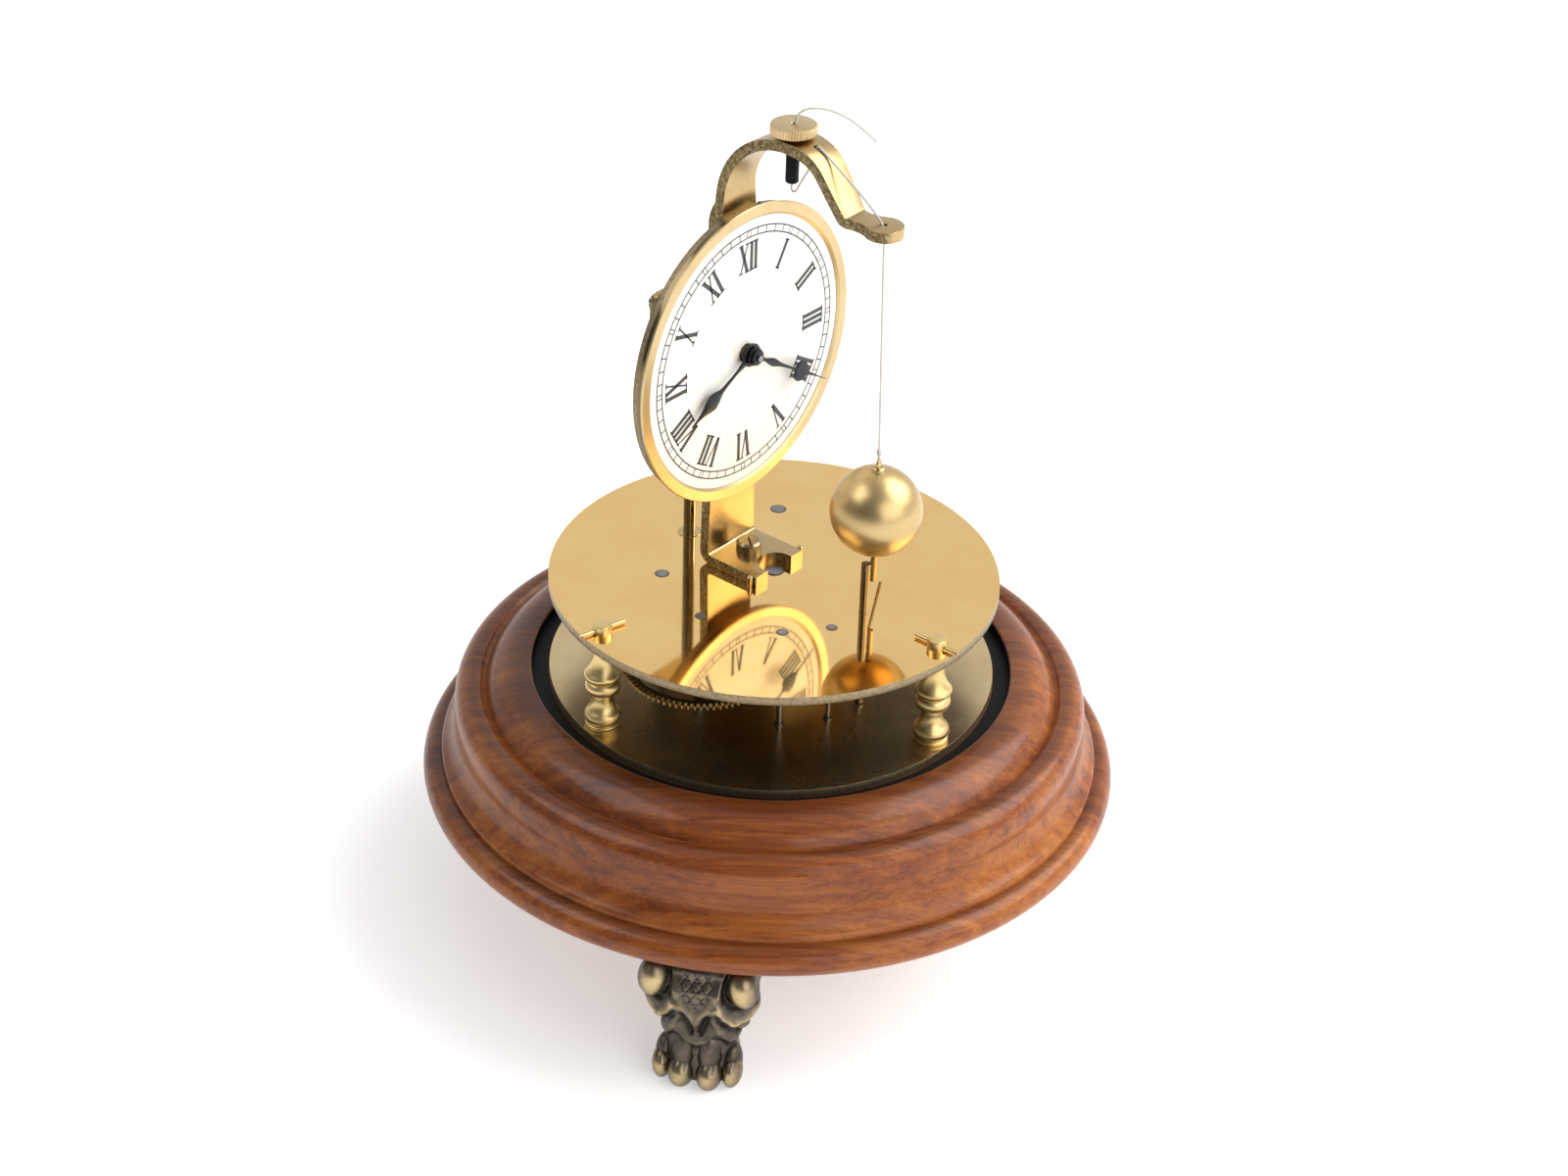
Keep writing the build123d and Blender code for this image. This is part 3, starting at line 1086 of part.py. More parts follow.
# ---- write every node ----
def build():
    save("wooden_base", wooden_base())
    for number, angle in enumerate(FOOT_ANGLES, start=1):
        save(f"paw_foot_{number}", paw_foot(angle))
    save("base_screws", base_screws())
    save("lower_plate", lower_plate())
    save("upper_plate", upper_plate())
    for number, angle in enumerate(PILLAR_ANGLES, start=1):
        save(f"pillar_{number}", pillar(angle))
    save("pillar_pins", [pillar_pin(angle) for angle in PILLAR_ANGLES])
    save("pillar_screws", [pillar_screw(angle) for angle in PILLAR_ANGLES])

    save("barrel", barrel())
    save("barrel_cover", barrel_cover())
    save("mainspring", mainspring())
    save("barrel_arbor", barrel_arbor())
    save("ratchet_wheel", ratchet_wheel())
    save("click", click())
    save("click_stud", click_stud())
    save("click_spring", click_spring())
    save("click_spring_screw", click_spring_screw())

    save("second_arbor", second_arbor())
    save("second_wheel", train_wheel(SECOND_AT, SECOND_TEETH, SECOND_MODULE, DIRECTION_THIRD, SECOND_LOW, 4.6, 5))
    save("third_arbor", third_arbor())
    save("third_wheel", train_wheel(THIRD_AT, THIRD_TEETH, THIRD_MODULE, DIRECTION_FOURTH, THIRD_LOW, 4.4, 5))
    save("fourth_arbor", fourth_arbor())
    save("fourth_wheel", train_wheel(FOURTH_AT, FOURTH_TEETH, FOURTH_MODULE, DIRECTION_FIFTH, SECOND_LOW, 3.6, 4, 1.05))
    save("fifth_arbor", fifth_arbor())
    save("fifth_wheel", train_wheel(FIFTH_AT, FIFTH_TEETH, FIFTH_MODULE, DIRECTION_DRIVE, FIFTH_LOW, 3.4, 4, 1.05))
    save("drive_arbor", drive_arbor())
    save("crank_wire", crank_wire())

    save("pendulum_ball", pendulum_ball())
    save("ball_pin", ball_pin())
    save("ball_eyelet", ball_eyelet())
    save("hanging_thread", hanging_thread())
    save("pendulum_bracket", pendulum_bracket())
    save("thumb_screw", thumb_screw())
    save("suspension_thread", thread_tube(GUIDE_ROUTE, arc_radii(GUIDE_ROUTE)))

    save("bracket_screw", bracket_screw())
    save("bracket_dowels", [bracket_dowel(place) for place in DOWEL_AT])
    save("dial_case", dial_case())
    save("case_screws", case_screws())
    save("dial_bezel", dial_bezel())
    save("dial_disc", dial_disc())

    save("cannon_pinion", cannon_pinion())
    save("minute_wheel", minute_wheel())
    save("motion_stud", motion_stud())
    save("hour_wheel", hour_wheel())
    save("hour_hand", hour_hand())
    save("minute_hand", minute_hand())
    save("hand_collet", hand_collet())

    save("lower_bevel", lower_bevel())
    save("upper_bevel", upper_bevel())
    save("dial_drive_arbor", dial_drive_arbor())
    save("dial_arbor_bush", dial_arbor_bush())
    save("minute_arbor", minute_arbor())
    save("motion_cock", motion_cock())
    save("cock_pillars", [cock_pillar(place) for place in COCK_PILLAR_AT])
    save("rear_bridge", rear_bridge())
    save("bridge_screws", bridge_screws())


build()
print("suspension thread radii", [round(radius, 2) for radius in arc_radii(GUIDE_ROUTE)])
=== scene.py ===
import math

import bmesh
import bpy
from mathutils import Matrix, Vector
from mathutils.noise import noise as perlin


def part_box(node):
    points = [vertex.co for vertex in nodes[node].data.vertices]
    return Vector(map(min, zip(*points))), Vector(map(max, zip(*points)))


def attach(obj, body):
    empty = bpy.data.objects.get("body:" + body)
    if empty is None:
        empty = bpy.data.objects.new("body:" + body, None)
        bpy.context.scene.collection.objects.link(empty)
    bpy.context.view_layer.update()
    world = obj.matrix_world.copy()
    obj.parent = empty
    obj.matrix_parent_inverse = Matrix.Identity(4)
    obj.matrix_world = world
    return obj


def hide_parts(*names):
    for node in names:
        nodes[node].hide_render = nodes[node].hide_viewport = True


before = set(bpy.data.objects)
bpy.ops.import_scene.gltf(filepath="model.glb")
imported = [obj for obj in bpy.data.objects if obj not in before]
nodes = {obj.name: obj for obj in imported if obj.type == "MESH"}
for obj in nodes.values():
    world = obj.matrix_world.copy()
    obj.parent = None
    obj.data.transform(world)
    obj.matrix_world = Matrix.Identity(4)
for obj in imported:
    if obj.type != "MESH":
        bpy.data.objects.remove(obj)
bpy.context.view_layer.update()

MM = 0.001


def middle(node):
    """Middle of a node's box in millimetres, to one decimal."""
    low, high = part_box(node)
    return [round((a + b) / 2 / MM, 1) for a, b in zip(low, high)]


TOP = round(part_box("upper_plate")[1][2] / MM, 1)        # height of the upper plate's face
DIAL_Z = middle("dial_disc")[2]
BALL_AT = Vector(middle("pendulum_ball"))
BALL_RADIUS = 12.7
FOOT_ANGLES = (-151.5, -31.5, 88.5)
PILLAR_ANGLES = (-90.3, 165.5, 52.0)
PILLAR_CIRCLE = 57.5


# ---------------------------------------------------------------- materials
class Nodes:
    """Small builder for the node tree of a material, or of the world."""

    def __init__(self, name, world=None):
        self.owner = world or bpy.data.materials.new(name)
        self.owner.use_nodes = True
        self.tree = self.owner.node_tree
        self.tree.nodes.clear()
        self.out = self.tree.nodes.new("ShaderNodeOutputWorld" if world else "ShaderNodeOutputMaterial")
        self.coord = self.tree.nodes.new("ShaderNodeTexCoord")

    def add(self, kind, inputs=None, **props):
        """New node with its properties set, and its inputs linked or set."""
        node = self.tree.nodes.new(kind)
        for key, value in props.items():
            setattr(node, key, value)
        for key, value in (inputs or {}).items():
            if isinstance(value, bpy.types.NodeSocket):
                self.tree.links.new(value, node.inputs[key])
            else:
                node.inputs[key].default_value = value
        return node

    def mapping(self, scale=(1, 1, 1), rotation=(0, 0, 0), source="Object"):
        inputs = {"Vector": self.coord.outputs[source], "Scale": scale, "Rotation": rotation}
        return self.add("ShaderNodeMapping", inputs).outputs["Vector"]

    def stretched(self, turn, scale):
        """Object coordinates turned about Z and then stretched."""
        inputs = {"Vector": self.mapping(rotation=(0, 0, turn)), "Scale": scale}
        return self.add("ShaderNodeMapping", inputs).outputs["Vector"]

    def split(self, vector):
        """The X, Y and Z outputs of a vector."""
        return self.add("ShaderNodeSeparateXYZ", {"Vector": vector}).outputs

    def noise(self, vector, scale, detail=4.0, rough=0.55, distortion=0.0):
        inputs = {"Vector": vector, "Scale": scale, "Detail": detail, "Roughness": rough,
                  "Distortion": distortion}
        return self.add("ShaderNodeTexNoise", inputs).outputs["Fac"]

    def ramp(self, fac, *stops):
        node = self.add("ShaderNodeValToRGB", {"Fac": fac})
        elements = node.color_ramp.elements
        while len(elements) > 1:
            elements.remove(elements[-1])
        elements[0].position, elements[0].color = stops[0][0], rgba(stops[0][1])
        for position, colour in stops[1:]:
            elements.new(position).color = rgba(colour)
        return node.outputs["Color"]

    def range(self, value, low, high, to_low=0.0, to_high=1.0):
        inputs = {"Value": value, "From Min": low, "From Max": high, "To Min": to_low, "To Max": to_high}
        return self.add("ShaderNodeMapRange", inputs).outputs["Result"]

    def math(self, operation, a, b=0.0):
        return self.add("ShaderNodeMath", {0: a, 1: b}, operation=operation).outputs[0]

    def plus(self, a, b, times=1.0):
        """a + b * times."""
        if times != 1.0:
            b = self.math("MULTIPLY", b, times)
        return self.math("ADD", a, b)

    def mix(self, fac, a, b):
        return self.add("ShaderNodeMix", {0: fac, 6: rgba(a), 7: rgba(b)}, data_type="RGBA").outputs[2]

    def mix_normal(self, fac, a, b):
        return self.add("ShaderNodeMix", {0: fac, 4: a, 5: b}, data_type="VECTOR").outputs[1]

    def bump(self, height, strength, distance):
        inputs = {"Height": height, "Strength": strength, "Distance": distance}
        return self.add("ShaderNodeBump", inputs).outputs["Normal"]

    def surface(self, **inputs):
        """Finish with a Principled shader; an input's name has _ for each space."""
        names = {key.replace("_", " "): value for key, value in inputs.items()}
        shader = self.add("ShaderNodeBsdfPrincipled", names)
        self.tree.links.new(shader.outputs[0], self.out.inputs["Surface"])
        return self.owner


def rgba(colour):
    """Colour with full alpha. A socket stays as it is."""
    return colour if isinstance(colour, bpy.types.NodeSocket) else (*colour[:3], 1.0)


RIM_TONES = ((0.175, 0.130, 0.075), (0.270, 0.205, 0.120), (0.390, 0.310, 0.195))


def brass(name, rough, colour, tint, brushed=None, wear=0.5, sawn=None, edge_tones=RIM_TONES,
          edge_behind=None, underside_shade=None):
    """Brass sheet or bar.

    brushed scales fine lines. sawn is a test of the normal that finds the rough-cut edges: an axis, whether
    they face along it, and its range. edge_behind keeps them behind a depth. The underside colour is painted
    shade, given to the faces that look down.
    """
    n = Nodes(name)
    cloud = n.noise(n.mapping(), 60.0, 5.0)
    fine = n.noise(n.mapping(), 900.0, 3.0)
    base = n.mix(n.range(cloud, 0.35, 0.75), colour, tint)
    roughness = n.range(cloud, 0.3, 0.8, rough * (1 - 0.35 * wear), rough * (1 + 0.6 * wear))
    height = n.math("MULTIPLY", fine, 0.25)
    if brushed:
        lines = n.noise(n.mapping(scale=brushed), 1.0, 6.0, 0.7)
        height = n.plus(height, lines)
        roughness = n.plus(roughness, n.range(lines, 0.3, 0.7, 0.0, 0.08))
    normal = n.bump(height, 0.10, 0.00003)
    facing = n.split(n.coord.outputs["Normal"])
    if sawn:
        axis, along, low, high = sawn
        side = n.math("ABSOLUTE", facing[axis])
        edge = n.range(side, low, high) if along else n.range(side, high, low)
        if edge_behind:
            depth = n.split(n.coord.outputs["Object"])["Y"]
            edge = n.math("MULTIPLY", edge, n.range(depth, edge_behind * MM, (edge_behind + 0.15) * MM))
        pits = n.noise(n.mapping(), 2600.0, 4.0, 0.75)
        blotch = n.noise(n.mapping(), 900.0, 3.0, 0.6)
        speckle = n.plus(n.math("MULTIPLY", pits, 0.6), blotch, 0.4)
        base = n.mix(edge, base, n.ramp(speckle, *zip((0.36, 0.50, 0.64), edge_tones)))
        roughness = n.plus(roughness, edge, 0.30)
        normal = n.mix_normal(edge, normal, n.bump(speckle, 0.7, 0.00012))
    # Painted shade: faces that look down are mixed to the dark underside colour, standing in for the shadow
    # under the plate.
    if underside_shade:
        below = n.range(facing["Z"], -0.5, -0.8)
        base = n.mix(below, base, underside_shade)
        roughness = n.plus(roughness, below, 0.35)
    return n.surface(Base_Color=base, Metallic=1.0, Roughness=roughness, Normal=normal)


def steel(name, colour, rough=0.28):
    n = Nodes(name)
    grain = n.noise(n.mapping(scale=(300, 300, 4000)), 1.0, 4.0)
    cloud = n.noise(n.mapping(), 300.0, 3.0)
    base = n.mix(n.range(cloud, 0.35, 0.7), colour, tuple(c * 0.7 for c in colour))
    roughness = n.range(grain, 0.2, 0.8, rough * 0.7, rough * 1.3)
    return n.surface(Base_Color=base, Metallic=1.0, Roughness=roughness, Normal=n.bump(grain, 0.15, 0.00003))


def black_metal(name, rough):
    n = Nodes(name)
    cloud = n.noise(n.mapping(), 700.0, 4.0)
    base = n.ramp(cloud, (0.35, (0.006, 0.006, 0.008)), (0.7, (0.016, 0.016, 0.02)))
    roughness = n.range(cloud, 0.3, 0.7, rough * 0.8, rough * 1.3)
    return n.surface(Base_Color=base, Metallic=0.6, Roughness=roughness, Normal=n.bump(cloud, 0.1, 0.00003))


def varnished_wood():
    """Red-brown stained hardwood: long straight grain, short dark pores, a clear coat, and painted shade on
    the flat tops.
    """
    n = Nodes("varnished_wood")
    turn = math.radians(51.5)
    broad = n.noise(n.stretched(turn, (3.0, 30.0, 30.0)), 1.0, 4.0, 0.5, 0.3)
    streak = n.noise(n.stretched(turn, (7.0, 260.0, 260.0)), 1.0, 5.0, 0.62, 0.15)
    fine = n.noise(n.stretched(turn, (26.0, 1300.0, 1300.0)), 1.0, 4.0, 0.7)
    pores = n.noise(n.stretched(turn, (120.0, 2300.0, 2300.0)), 1.0, 2.0, 0.5)
    tone = n.plus(n.plus(n.math("MULTIPLY", broad, 0.38), streak, 0.40), fine, 0.22)
    colour = n.ramp(
        tone,
        (0.36, (0.095, 0.020, 0.005)),
        (0.46, (0.205, 0.050, 0.010)),
        (0.54, (0.310, 0.088, 0.014)),
        (0.64, (0.430, 0.146, 0.024)),
    )
    dark = n.range(pores, 0.62, 0.74)
    colour = n.mix(n.math("MULTIPLY", dark, 0.6), colour, (0.030, 0.008, 0.004))
    # Painted shade: faces that look straight up are darkened, so the flat tops read darker than the rounded
    # mouldings.
    level = n.range(n.split(n.coord.outputs["Normal"])["Z"], 0.86, 1.0, 0.0, 0.42)
    colour = n.mix(level, colour, (0.040, 0.010, 0.004))
    height = n.math("SUBTRACT", n.math("MULTIPLY", fine, 0.4), n.math("MULTIPLY", dark, 0.8))
    peel = n.noise(n.mapping(), 420.0, 3.0)
    return n.surface(Base_Color=colour, Roughness=n.range(streak, 0.3, 0.7, 0.40, 0.52),
                     Specular_IOR_Level=0.15, Normal=n.bump(height, 0.25, 0.00010), Coat_Weight=0.36,
                     Coat_Roughness=0.15, Coat_Normal=n.bump(n.plus(peel, fine, 0.5), 0.16, 0.00022))


def cast_brass():
    """Foot metal: brown-black patina in the hollows, rubbed bright brass on the high spots."""
    n = Nodes("aged_cast_brass")
    high = n.add("ShaderNodeAttribute", attribute_name="relief", attribute_type="GEOMETRY").outputs["Fac"]
    cloud = n.noise(n.mapping(), 420.0, 5.0, 0.65)
    grit = n.noise(n.mapping(), 2200.0, 3.0, 0.7)
    level = n.plus(high, n.math("SUBTRACT", cloud, 0.5), 0.42)
    colour = n.ramp(
        level,
        (0.12, (0.034, 0.028, 0.022)),
        (0.34, (0.125, 0.103, 0.080)),
        (0.56, (0.265, 0.208, 0.132)),
        (0.82, (0.520, 0.400, 0.205)),
    )
    return n.surface(Base_Color=colour, Metallic=0.92, Roughness=n.range(level, 0.2, 0.9, 0.42, 0.27),
                     Normal=n.bump(n.plus(grit, cloud), 0.22, 0.00012))


def enamel():
    """White fired enamel."""
    n = Nodes("dial_enamel")
    cloud = n.noise(n.mapping(), 25.0, 3.0)
    fine = n.noise(n.mapping(), 1500.0, 2.0)
    colour = n.ramp(cloud, (0.3, (0.735, 0.715, 0.665)), (0.7, (0.76, 0.745, 0.70)))
    return n.surface(Base_Color=colour, Roughness=0.34, Coat_Weight=0.35, Coat_Roughness=0.12,
                     Normal=n.bump(fine, 0.04, 0.00003))


def grainy(name, scale, detail, low, high, rough, bump, **inputs):
    """Dull surface of two tones in a fine grain: low and high are (noise level, colour)."""
    n = Nodes(name)
    cloud = n.noise(n.mapping(), scale, detail)
    colour = n.ramp(cloud, low, high)
    return n.surface(Base_Color=colour, Roughness=rough, Normal=n.bump(cloud, *bump), **inputs)


def thread_fibre():
    """Off-white twisted fibre."""
    n = Nodes("twisted_thread")
    twist = n.add("ShaderNodeTexWave", {"Vector": n.mapping(rotation=(0.5, 0.9, 0.0)), "Scale": 620.0,
                                        "Distortion": 2.5, "Detail": 2.0}).outputs["Fac"]
    fuzz = n.noise(n.mapping(), 3500.0, 4.0)
    colour = n.mix(n.math("MULTIPLY", twist, 0.35), (0.66, 0.63, 0.57), (0.40, 0.37, 0.31))
    return n.surface(Base_Color=colour, Roughness=0.75, Normal=n.bump(n.plus(twist, fuzz), 0.6, 0.00012),
                     Sheen_Weight=0.35, Subsurface_Weight=0.15, Subsurface_Scale=0.0006)


def floor_paint():
    """White sweep, over-lit so that only the deeper part of a shadow shows."""
    n = Nodes("studio_paper")
    colour = n.ramp(n.noise(n.mapping(), 3.0, 3.0), (0.2, (0.90, 0.90, 0.90)), (0.8, (0.92, 0.92, 0.92)))
    return n.surface(Base_Color=colour, Roughness=0.9, Specular_IOR_Level=0.05, Emission_Color=colour,
                     Emission_Strength=0.47)


RIM = ("Z", False, 0.25, 0.5)
# The polished plate's underside colour is painted shade: a dark brown for the faces that look down.
POLISHED = brass("polished_plate", 0.05, (0.80, 0.54, 0.225), (0.76, 0.495, 0.185), sawn=RIM,
                 underside_shade=(0.055, 0.036, 0.018))
LOWER = brass("satin_plate", 0.26, (0.60, 0.465, 0.265), (0.52, 0.39, 0.205), sawn=RIM)
STRIP = brass("bent_strip", 0.27, (0.46, 0.335, 0.165), (0.41, 0.285, 0.12), sawn=("X", True, 0.45, 0.75),
              edge_tones=((0.055, 0.040, 0.018), (0.205, 0.155, 0.075), (0.56, 0.45, 0.26)))
CASE = brass("turned_case", 0.16, (0.20, 0.155, 0.09), (0.155, 0.118, 0.065), sawn=("Y", False, 0.3, 0.6),
             edge_behind=14.3)
BEZEL = brass("lacquered_bezel", 0.30, (0.56, 0.43, 0.235), (0.51, 0.375, 0.185))
PILLAR = brass("turned_brass", 0.30, (0.72, 0.55, 0.245), (0.60, 0.44, 0.18), brushed=(8, 8, 2600))
BALL = brass("satin_ball", 0.31, (0.56, 0.415, 0.20), (0.49, 0.345, 0.15), brushed=(30, 30, 1400), wear=0.3)
KNURLED = brass("knurled_brass", 0.34, (0.62, 0.475, 0.27), (0.47, 0.345, 0.17))
WHEEL = brass("wheel_brass", 0.36, (0.42, 0.29, 0.115), (0.30, 0.20, 0.08))
PIN_BRASS = brass("pin_brass", 0.2, (0.62, 0.47, 0.22), (0.33, 0.24, 0.11))
SCREW_BRASS = brass("screw_brass", 0.32, (0.36, 0.285, 0.165), (0.27, 0.20, 0.11))
STEEL = steel("ground_steel", (0.26, 0.25, 0.25))
SPRING = steel("spring_steel", (0.16, 0.17, 0.22), 0.22)
BLACK = black_metal("blackened_hands", 0.28)
BLACK_SCREW = black_metal("black_screw", 0.42)
WOOD = varnished_wood()
CAST = cast_brass()
ENAMEL = enamel()
INK = grainy("printed_black", 2600.0, 3.0, (0.3, (0.022, 0.022, 0.024)), (0.75, (0.055, 0.055, 0.058)), 0.5,
             (0.05, 0.00002))
RECESS_BLACK = grainy("recess_black", 300.0, 4.0, (0.3, (0.003, 0.0025, 0.002)), (0.8, (0.007, 0.006, 0.005)),
                      0.55, (0.2, 0.0001), Specular_IOR_Level=0.15)
# Near-black colour of the painted shade rings round the pivots.
PIVOT_SHADE = grainy("painted_pivot_shade", 2500.0, 3.0, (0.3, (0.020, 0.012, 0.005)), (0.7, (0.060, 0.036, 0.014)), 0.3,
                 (0.1, 0.00005))
THREAD = thread_fibre()
MATERIAL_NODES = (
    (WOOD, "wooden_base"),
    (POLISHED, "upper_plate"),
    (LOWER, "lower_plate"),
    (STRIP, "pendulum_bracket", "rear_bridge", "motion_cock"),
    (CASE, "dial_case"),
    (BEZEL, "dial_bezel"),
    (ENAMEL, "dial_disc"),
    (KNURLED, "thumb_screw"),
    (PIN_BRASS, "ball_eyelet", "ball_pin", "pillar_pins", "bracket_dowels", "dial_arbor_bush"),
    (SCREW_BRASS, "bracket_screw"),
    (PILLAR, "pillar_1", "pillar_2", "pillar_3"),
    (CAST, "paw_foot_1", "paw_foot_2", "paw_foot_3"),
    (BALL, "pendulum_ball"),
    (THREAD, "suspension_thread", "hanging_thread"),
    (BLACK, "hour_hand", "minute_hand", "hand_collet"),
    (SPRING, "mainspring", "click_spring"),
    (WHEEL, "barrel", "barrel_cover", "second_wheel", "third_wheel", "fourth_wheel", "fifth_wheel",
     "lower_bevel", "upper_bevel", "cannon_pinion", "minute_wheel", "hour_wheel", "cock_pillars"),
    (steel("drive_post", (0.30, 0.24, 0.17), 0.2), "drive_arbor"),
    (steel("crank_wire_steel", (0.30, 0.27, 0.23), 0.25), "crank_wire"),
    (steel("dial_rod", (0.50, 0.44, 0.34), 0.12), "dial_drive_arbor"),
)
NODE_MATERIAL = {name: material for material, *names in MATERIAL_NODES for name in names}
for name, obj in nodes.items():
    obj.data.materials.clear()
    obj.data.materials.append(NODE_MATERIAL.get(name, STEEL))


# ---------------------------------------------------------------- mesh helpers
def new_mesh(name, verts, faces, material, body, replaced=(), sharp=35.0):
    """Mesh from millimetre points, riding a body and standing for CAD nodes."""
    mesh = bpy.data.meshes.new(name)
    mesh.from_pydata([Vector(v) * MM for v in verts], [], faces)
    mesh.update()
    mesh.shade_smooth()
    mesh.set_sharp_from_angle(angle=math.radians(sharp))
    mesh.materials.append(material)
    return placed(bpy.data.objects.new(name, mesh), body, replaced)


def placed(obj, body, replaced):
    """Link an object, let it ride a body and hide the CAD nodes that it stands for."""
    bpy.context.scene.collection.objects.link(obj)
    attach(obj, body)
    if replaced:
        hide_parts(*replaced)
    return obj


def moved(x, y, z):
    """Placing function that shifts a point."""
    return lambda p: p + Vector((x, y, z))


def circle(count):
    """Even angles round a circle."""
    return [2 * math.pi * step / count for step in range(count)]


def polar(radius, angle, height=0.0):
    return Vector((radius * math.cos(angle), radius * math.sin(angle), height))


def ring_faces(rings, around, closed=False, capped=False):
    """Quads between rings of vertices that follow each other."""
    faces = []
    for ring in range(rings if closed else rings - 1):
        low, high = ring * around, (ring + 1) % rings * around
        for column in range(around):
            after = (column + 1) % around
            faces.append((low + column, low + after, high + after, high + column))
    if capped:
        faces.append(tuple(range(around - 1, -1, -1)))
        faces.append(tuple(range((rings - 1) * around, rings * around)))
    return faces


def flipped(faces):
    return [(a, d, c, b) for a, b, c, d in faces]


def lathe_mesh(profile, segments=128, place=lambda p: p, closed=False):
    """Rings of (radius, height) turned about Z. Radius 0 ends become poles."""
    verts, faces, rings = [], [], []
    for radius, height in profile:
        pole = radius < 1e-6
        rings.append([len(verts)] if pole else list(range(len(verts), len(verts) + segments)))
        verts += [place(polar(radius, angle, height)) for angle in ([0.0] if pole else circle(segments))]
    pairs = list(zip(rings, rings[1:]))
    if closed:
        pairs.append((rings[-1], rings[0]))
    for low, high in pairs:
        for index in range(segments):
            after = (index + 1) % segments
            if len(low) == 1:
                faces.append((low[0], high[after], high[index]))
            elif len(high) == 1:
                faces.append((low[index], low[after], high[0]))
            else:
                faces.append((low[index], low[after], high[after], high[index]))
    return verts, faces


def arc_points(start, middle, end, count=10):
    """Points on the circle through three points, the first left out."""
    (ax, ay), (bx, by), (cx, cy) = start, middle, end
    d = 2 * (ax * (by - cy) + bx * (cy - ay) + cx * (ay - by))
    ux = ((ax**2 + ay**2) * (by - cy) + (bx**2 + by**2) * (cy - ay) + (cx**2 + cy**2) * (ay - by)) / d
    uy = ((ax**2 + ay**2) * (cx - bx) + (bx**2 + by**2) * (ax - cx) + (cx**2 + cy**2) * (bx - ax)) / d
    radius = math.hypot(ax - ux, ay - uy)
    a, b, c = (math.atan2(y - uy, x - ux) for x, y in (start, middle, end))

    def near(angle, reference):
        return angle - 2 * math.pi * round((angle - reference) / (2 * math.pi))

    c = near(c, near(b, a))
    turns = (a + (c - a) * k / count for k in range(1, count + 1))
    return [(ux + radius * math.cos(t), uy + radius * math.sin(t)) for t in turns]


def outline(*steps):
    """Points of a profile. A step is a point, or the start, middle, end and count of an arc."""
    points = []
    for step in steps:
        points += arc_points(*step) if len(step) > 2 else [step]
    return points


def merge(*meshes):
    """One list of vertices and faces from several."""
    verts, faces = [], []
    for more_verts, more_faces in meshes:
        offset = len(verts)
        verts += list(more_verts)
        faces += [tuple(i + offset for i in face) for face in more_faces]
    return verts, faces


def spin(point, angle):
    """Turn (x, y) clockwise by an angle in radians."""
    x, y = point
    return x * math.cos(angle) + y * math.sin(angle), y * math.cos(angle) - x * math.sin(angle)


def on_dial(front):
    """Stand (x, y, out) points on the dial axis, with out towards the viewer from depth front."""
    return lambda p: (p[0], front - p[2], DIAL_Z + p[1])


# ---------------------------------------------------------------- wooden base and recess
LIP, LEDGE = TOP - 29.4, TOP - 32.6


def wooden_base():
    torus_top = 46.1 + math.sqrt(4.5**2 - 0.8**2)
    profile = outline(
        (52.0, 40.4), (52.0, LEDGE), (68.5, LEDGE), (68.5, LIP - 0.7),
        ((68.5, LIP - 0.7), (68.75, LIP - 0.2), (69.3, LIP), 6),
        ((69.3, LIP), (76.4, LIP - 1.5), (81.8, 71.6), 18),
        ((81.8, 71.6), (82.5, 71.9), (83.4, 72.7), 6),
        ((83.4, 72.7), (88.3, 71.9), (90.6, 67.6), 16),
        (90.62, 66.0), (90.6, 64.5), (90.5, 63.0),
        ((90.5, 63.0), (91.5, 56.0), (94.6, 52.4), 14),
        (94.85, 51.9), (94.9, torus_top),
        ((94.9, torus_top), (100.2, 46.1), (95.7, 41.6), 20),
        (95.3, 41.2), (94.2, 40.0), (52.4, 40.0))
    new_mesh("wooden_base_visual", *lathe_mesh(profile, 256, closed=True), WOOD, "clock_frame",
             ("wooden_base",), 40)


def recess_lining():
    """Black paint on the wall and ledge of the opening in the base."""
    profile = [(63.7, LEDGE + 0.03), (68.4, LEDGE + 0.03), (68.45, LEDGE + 0.1), (68.45, LIP - 0.75)]
    new_mesh("recess_paint", *lathe_mesh(profile, 256), RECESS_BLACK, "clock_frame", sharp=40)


# ---------------------------------------------------------------- pillars
def pillars():
    top, tip = TOP - 2.5, TOP + 2.7
    profile = [(radius, TOP - 30.1 + height) for radius, height in outline(
        (0.0, 0.0), (4.7, 0.0), (4.8, 0.12), (4.9, 0.8), (4.8, 1.0), (4.5, 1.15), (4.5, 1.25),
        ((4.5, 1.25), (5.15, 3.0), (4.6, 4.6), 12), ((4.6, 4.6), (3.3, 6.6), (2.9, 9.4), 12), (2.8, 10.1),
        ((2.8, 10.2), (4.95, 12.5), (3.6, 14.8), 16), ((3.6, 14.85), (4.9, 15.5), (5.05, 16.9), 10),
        ((5.05, 16.9), (3.5, 19.4), (2.8, 22.4), 12), (2.8, 23.5),
        ((2.8, 23.6), (3.4, 25.6), (4.6, 26.6), 8))]
    profile += [(4.6, top), (2.65, top), (2.65, tip - 0.45), (2.5, tip - 0.12), (2.2, tip), (0.0, tip)]
    for number, angle in enumerate(PILLAR_ANGLES, start=1):
        verts, faces = lathe_mesh(profile, 72, place=moved(*polar(PILLAR_CIRCLE, math.radians(angle))))
        new_mesh(f"pillar_{number}_visual", verts, faces, PILLAR, "clock_frame", (f"pillar_{number}",), 38)


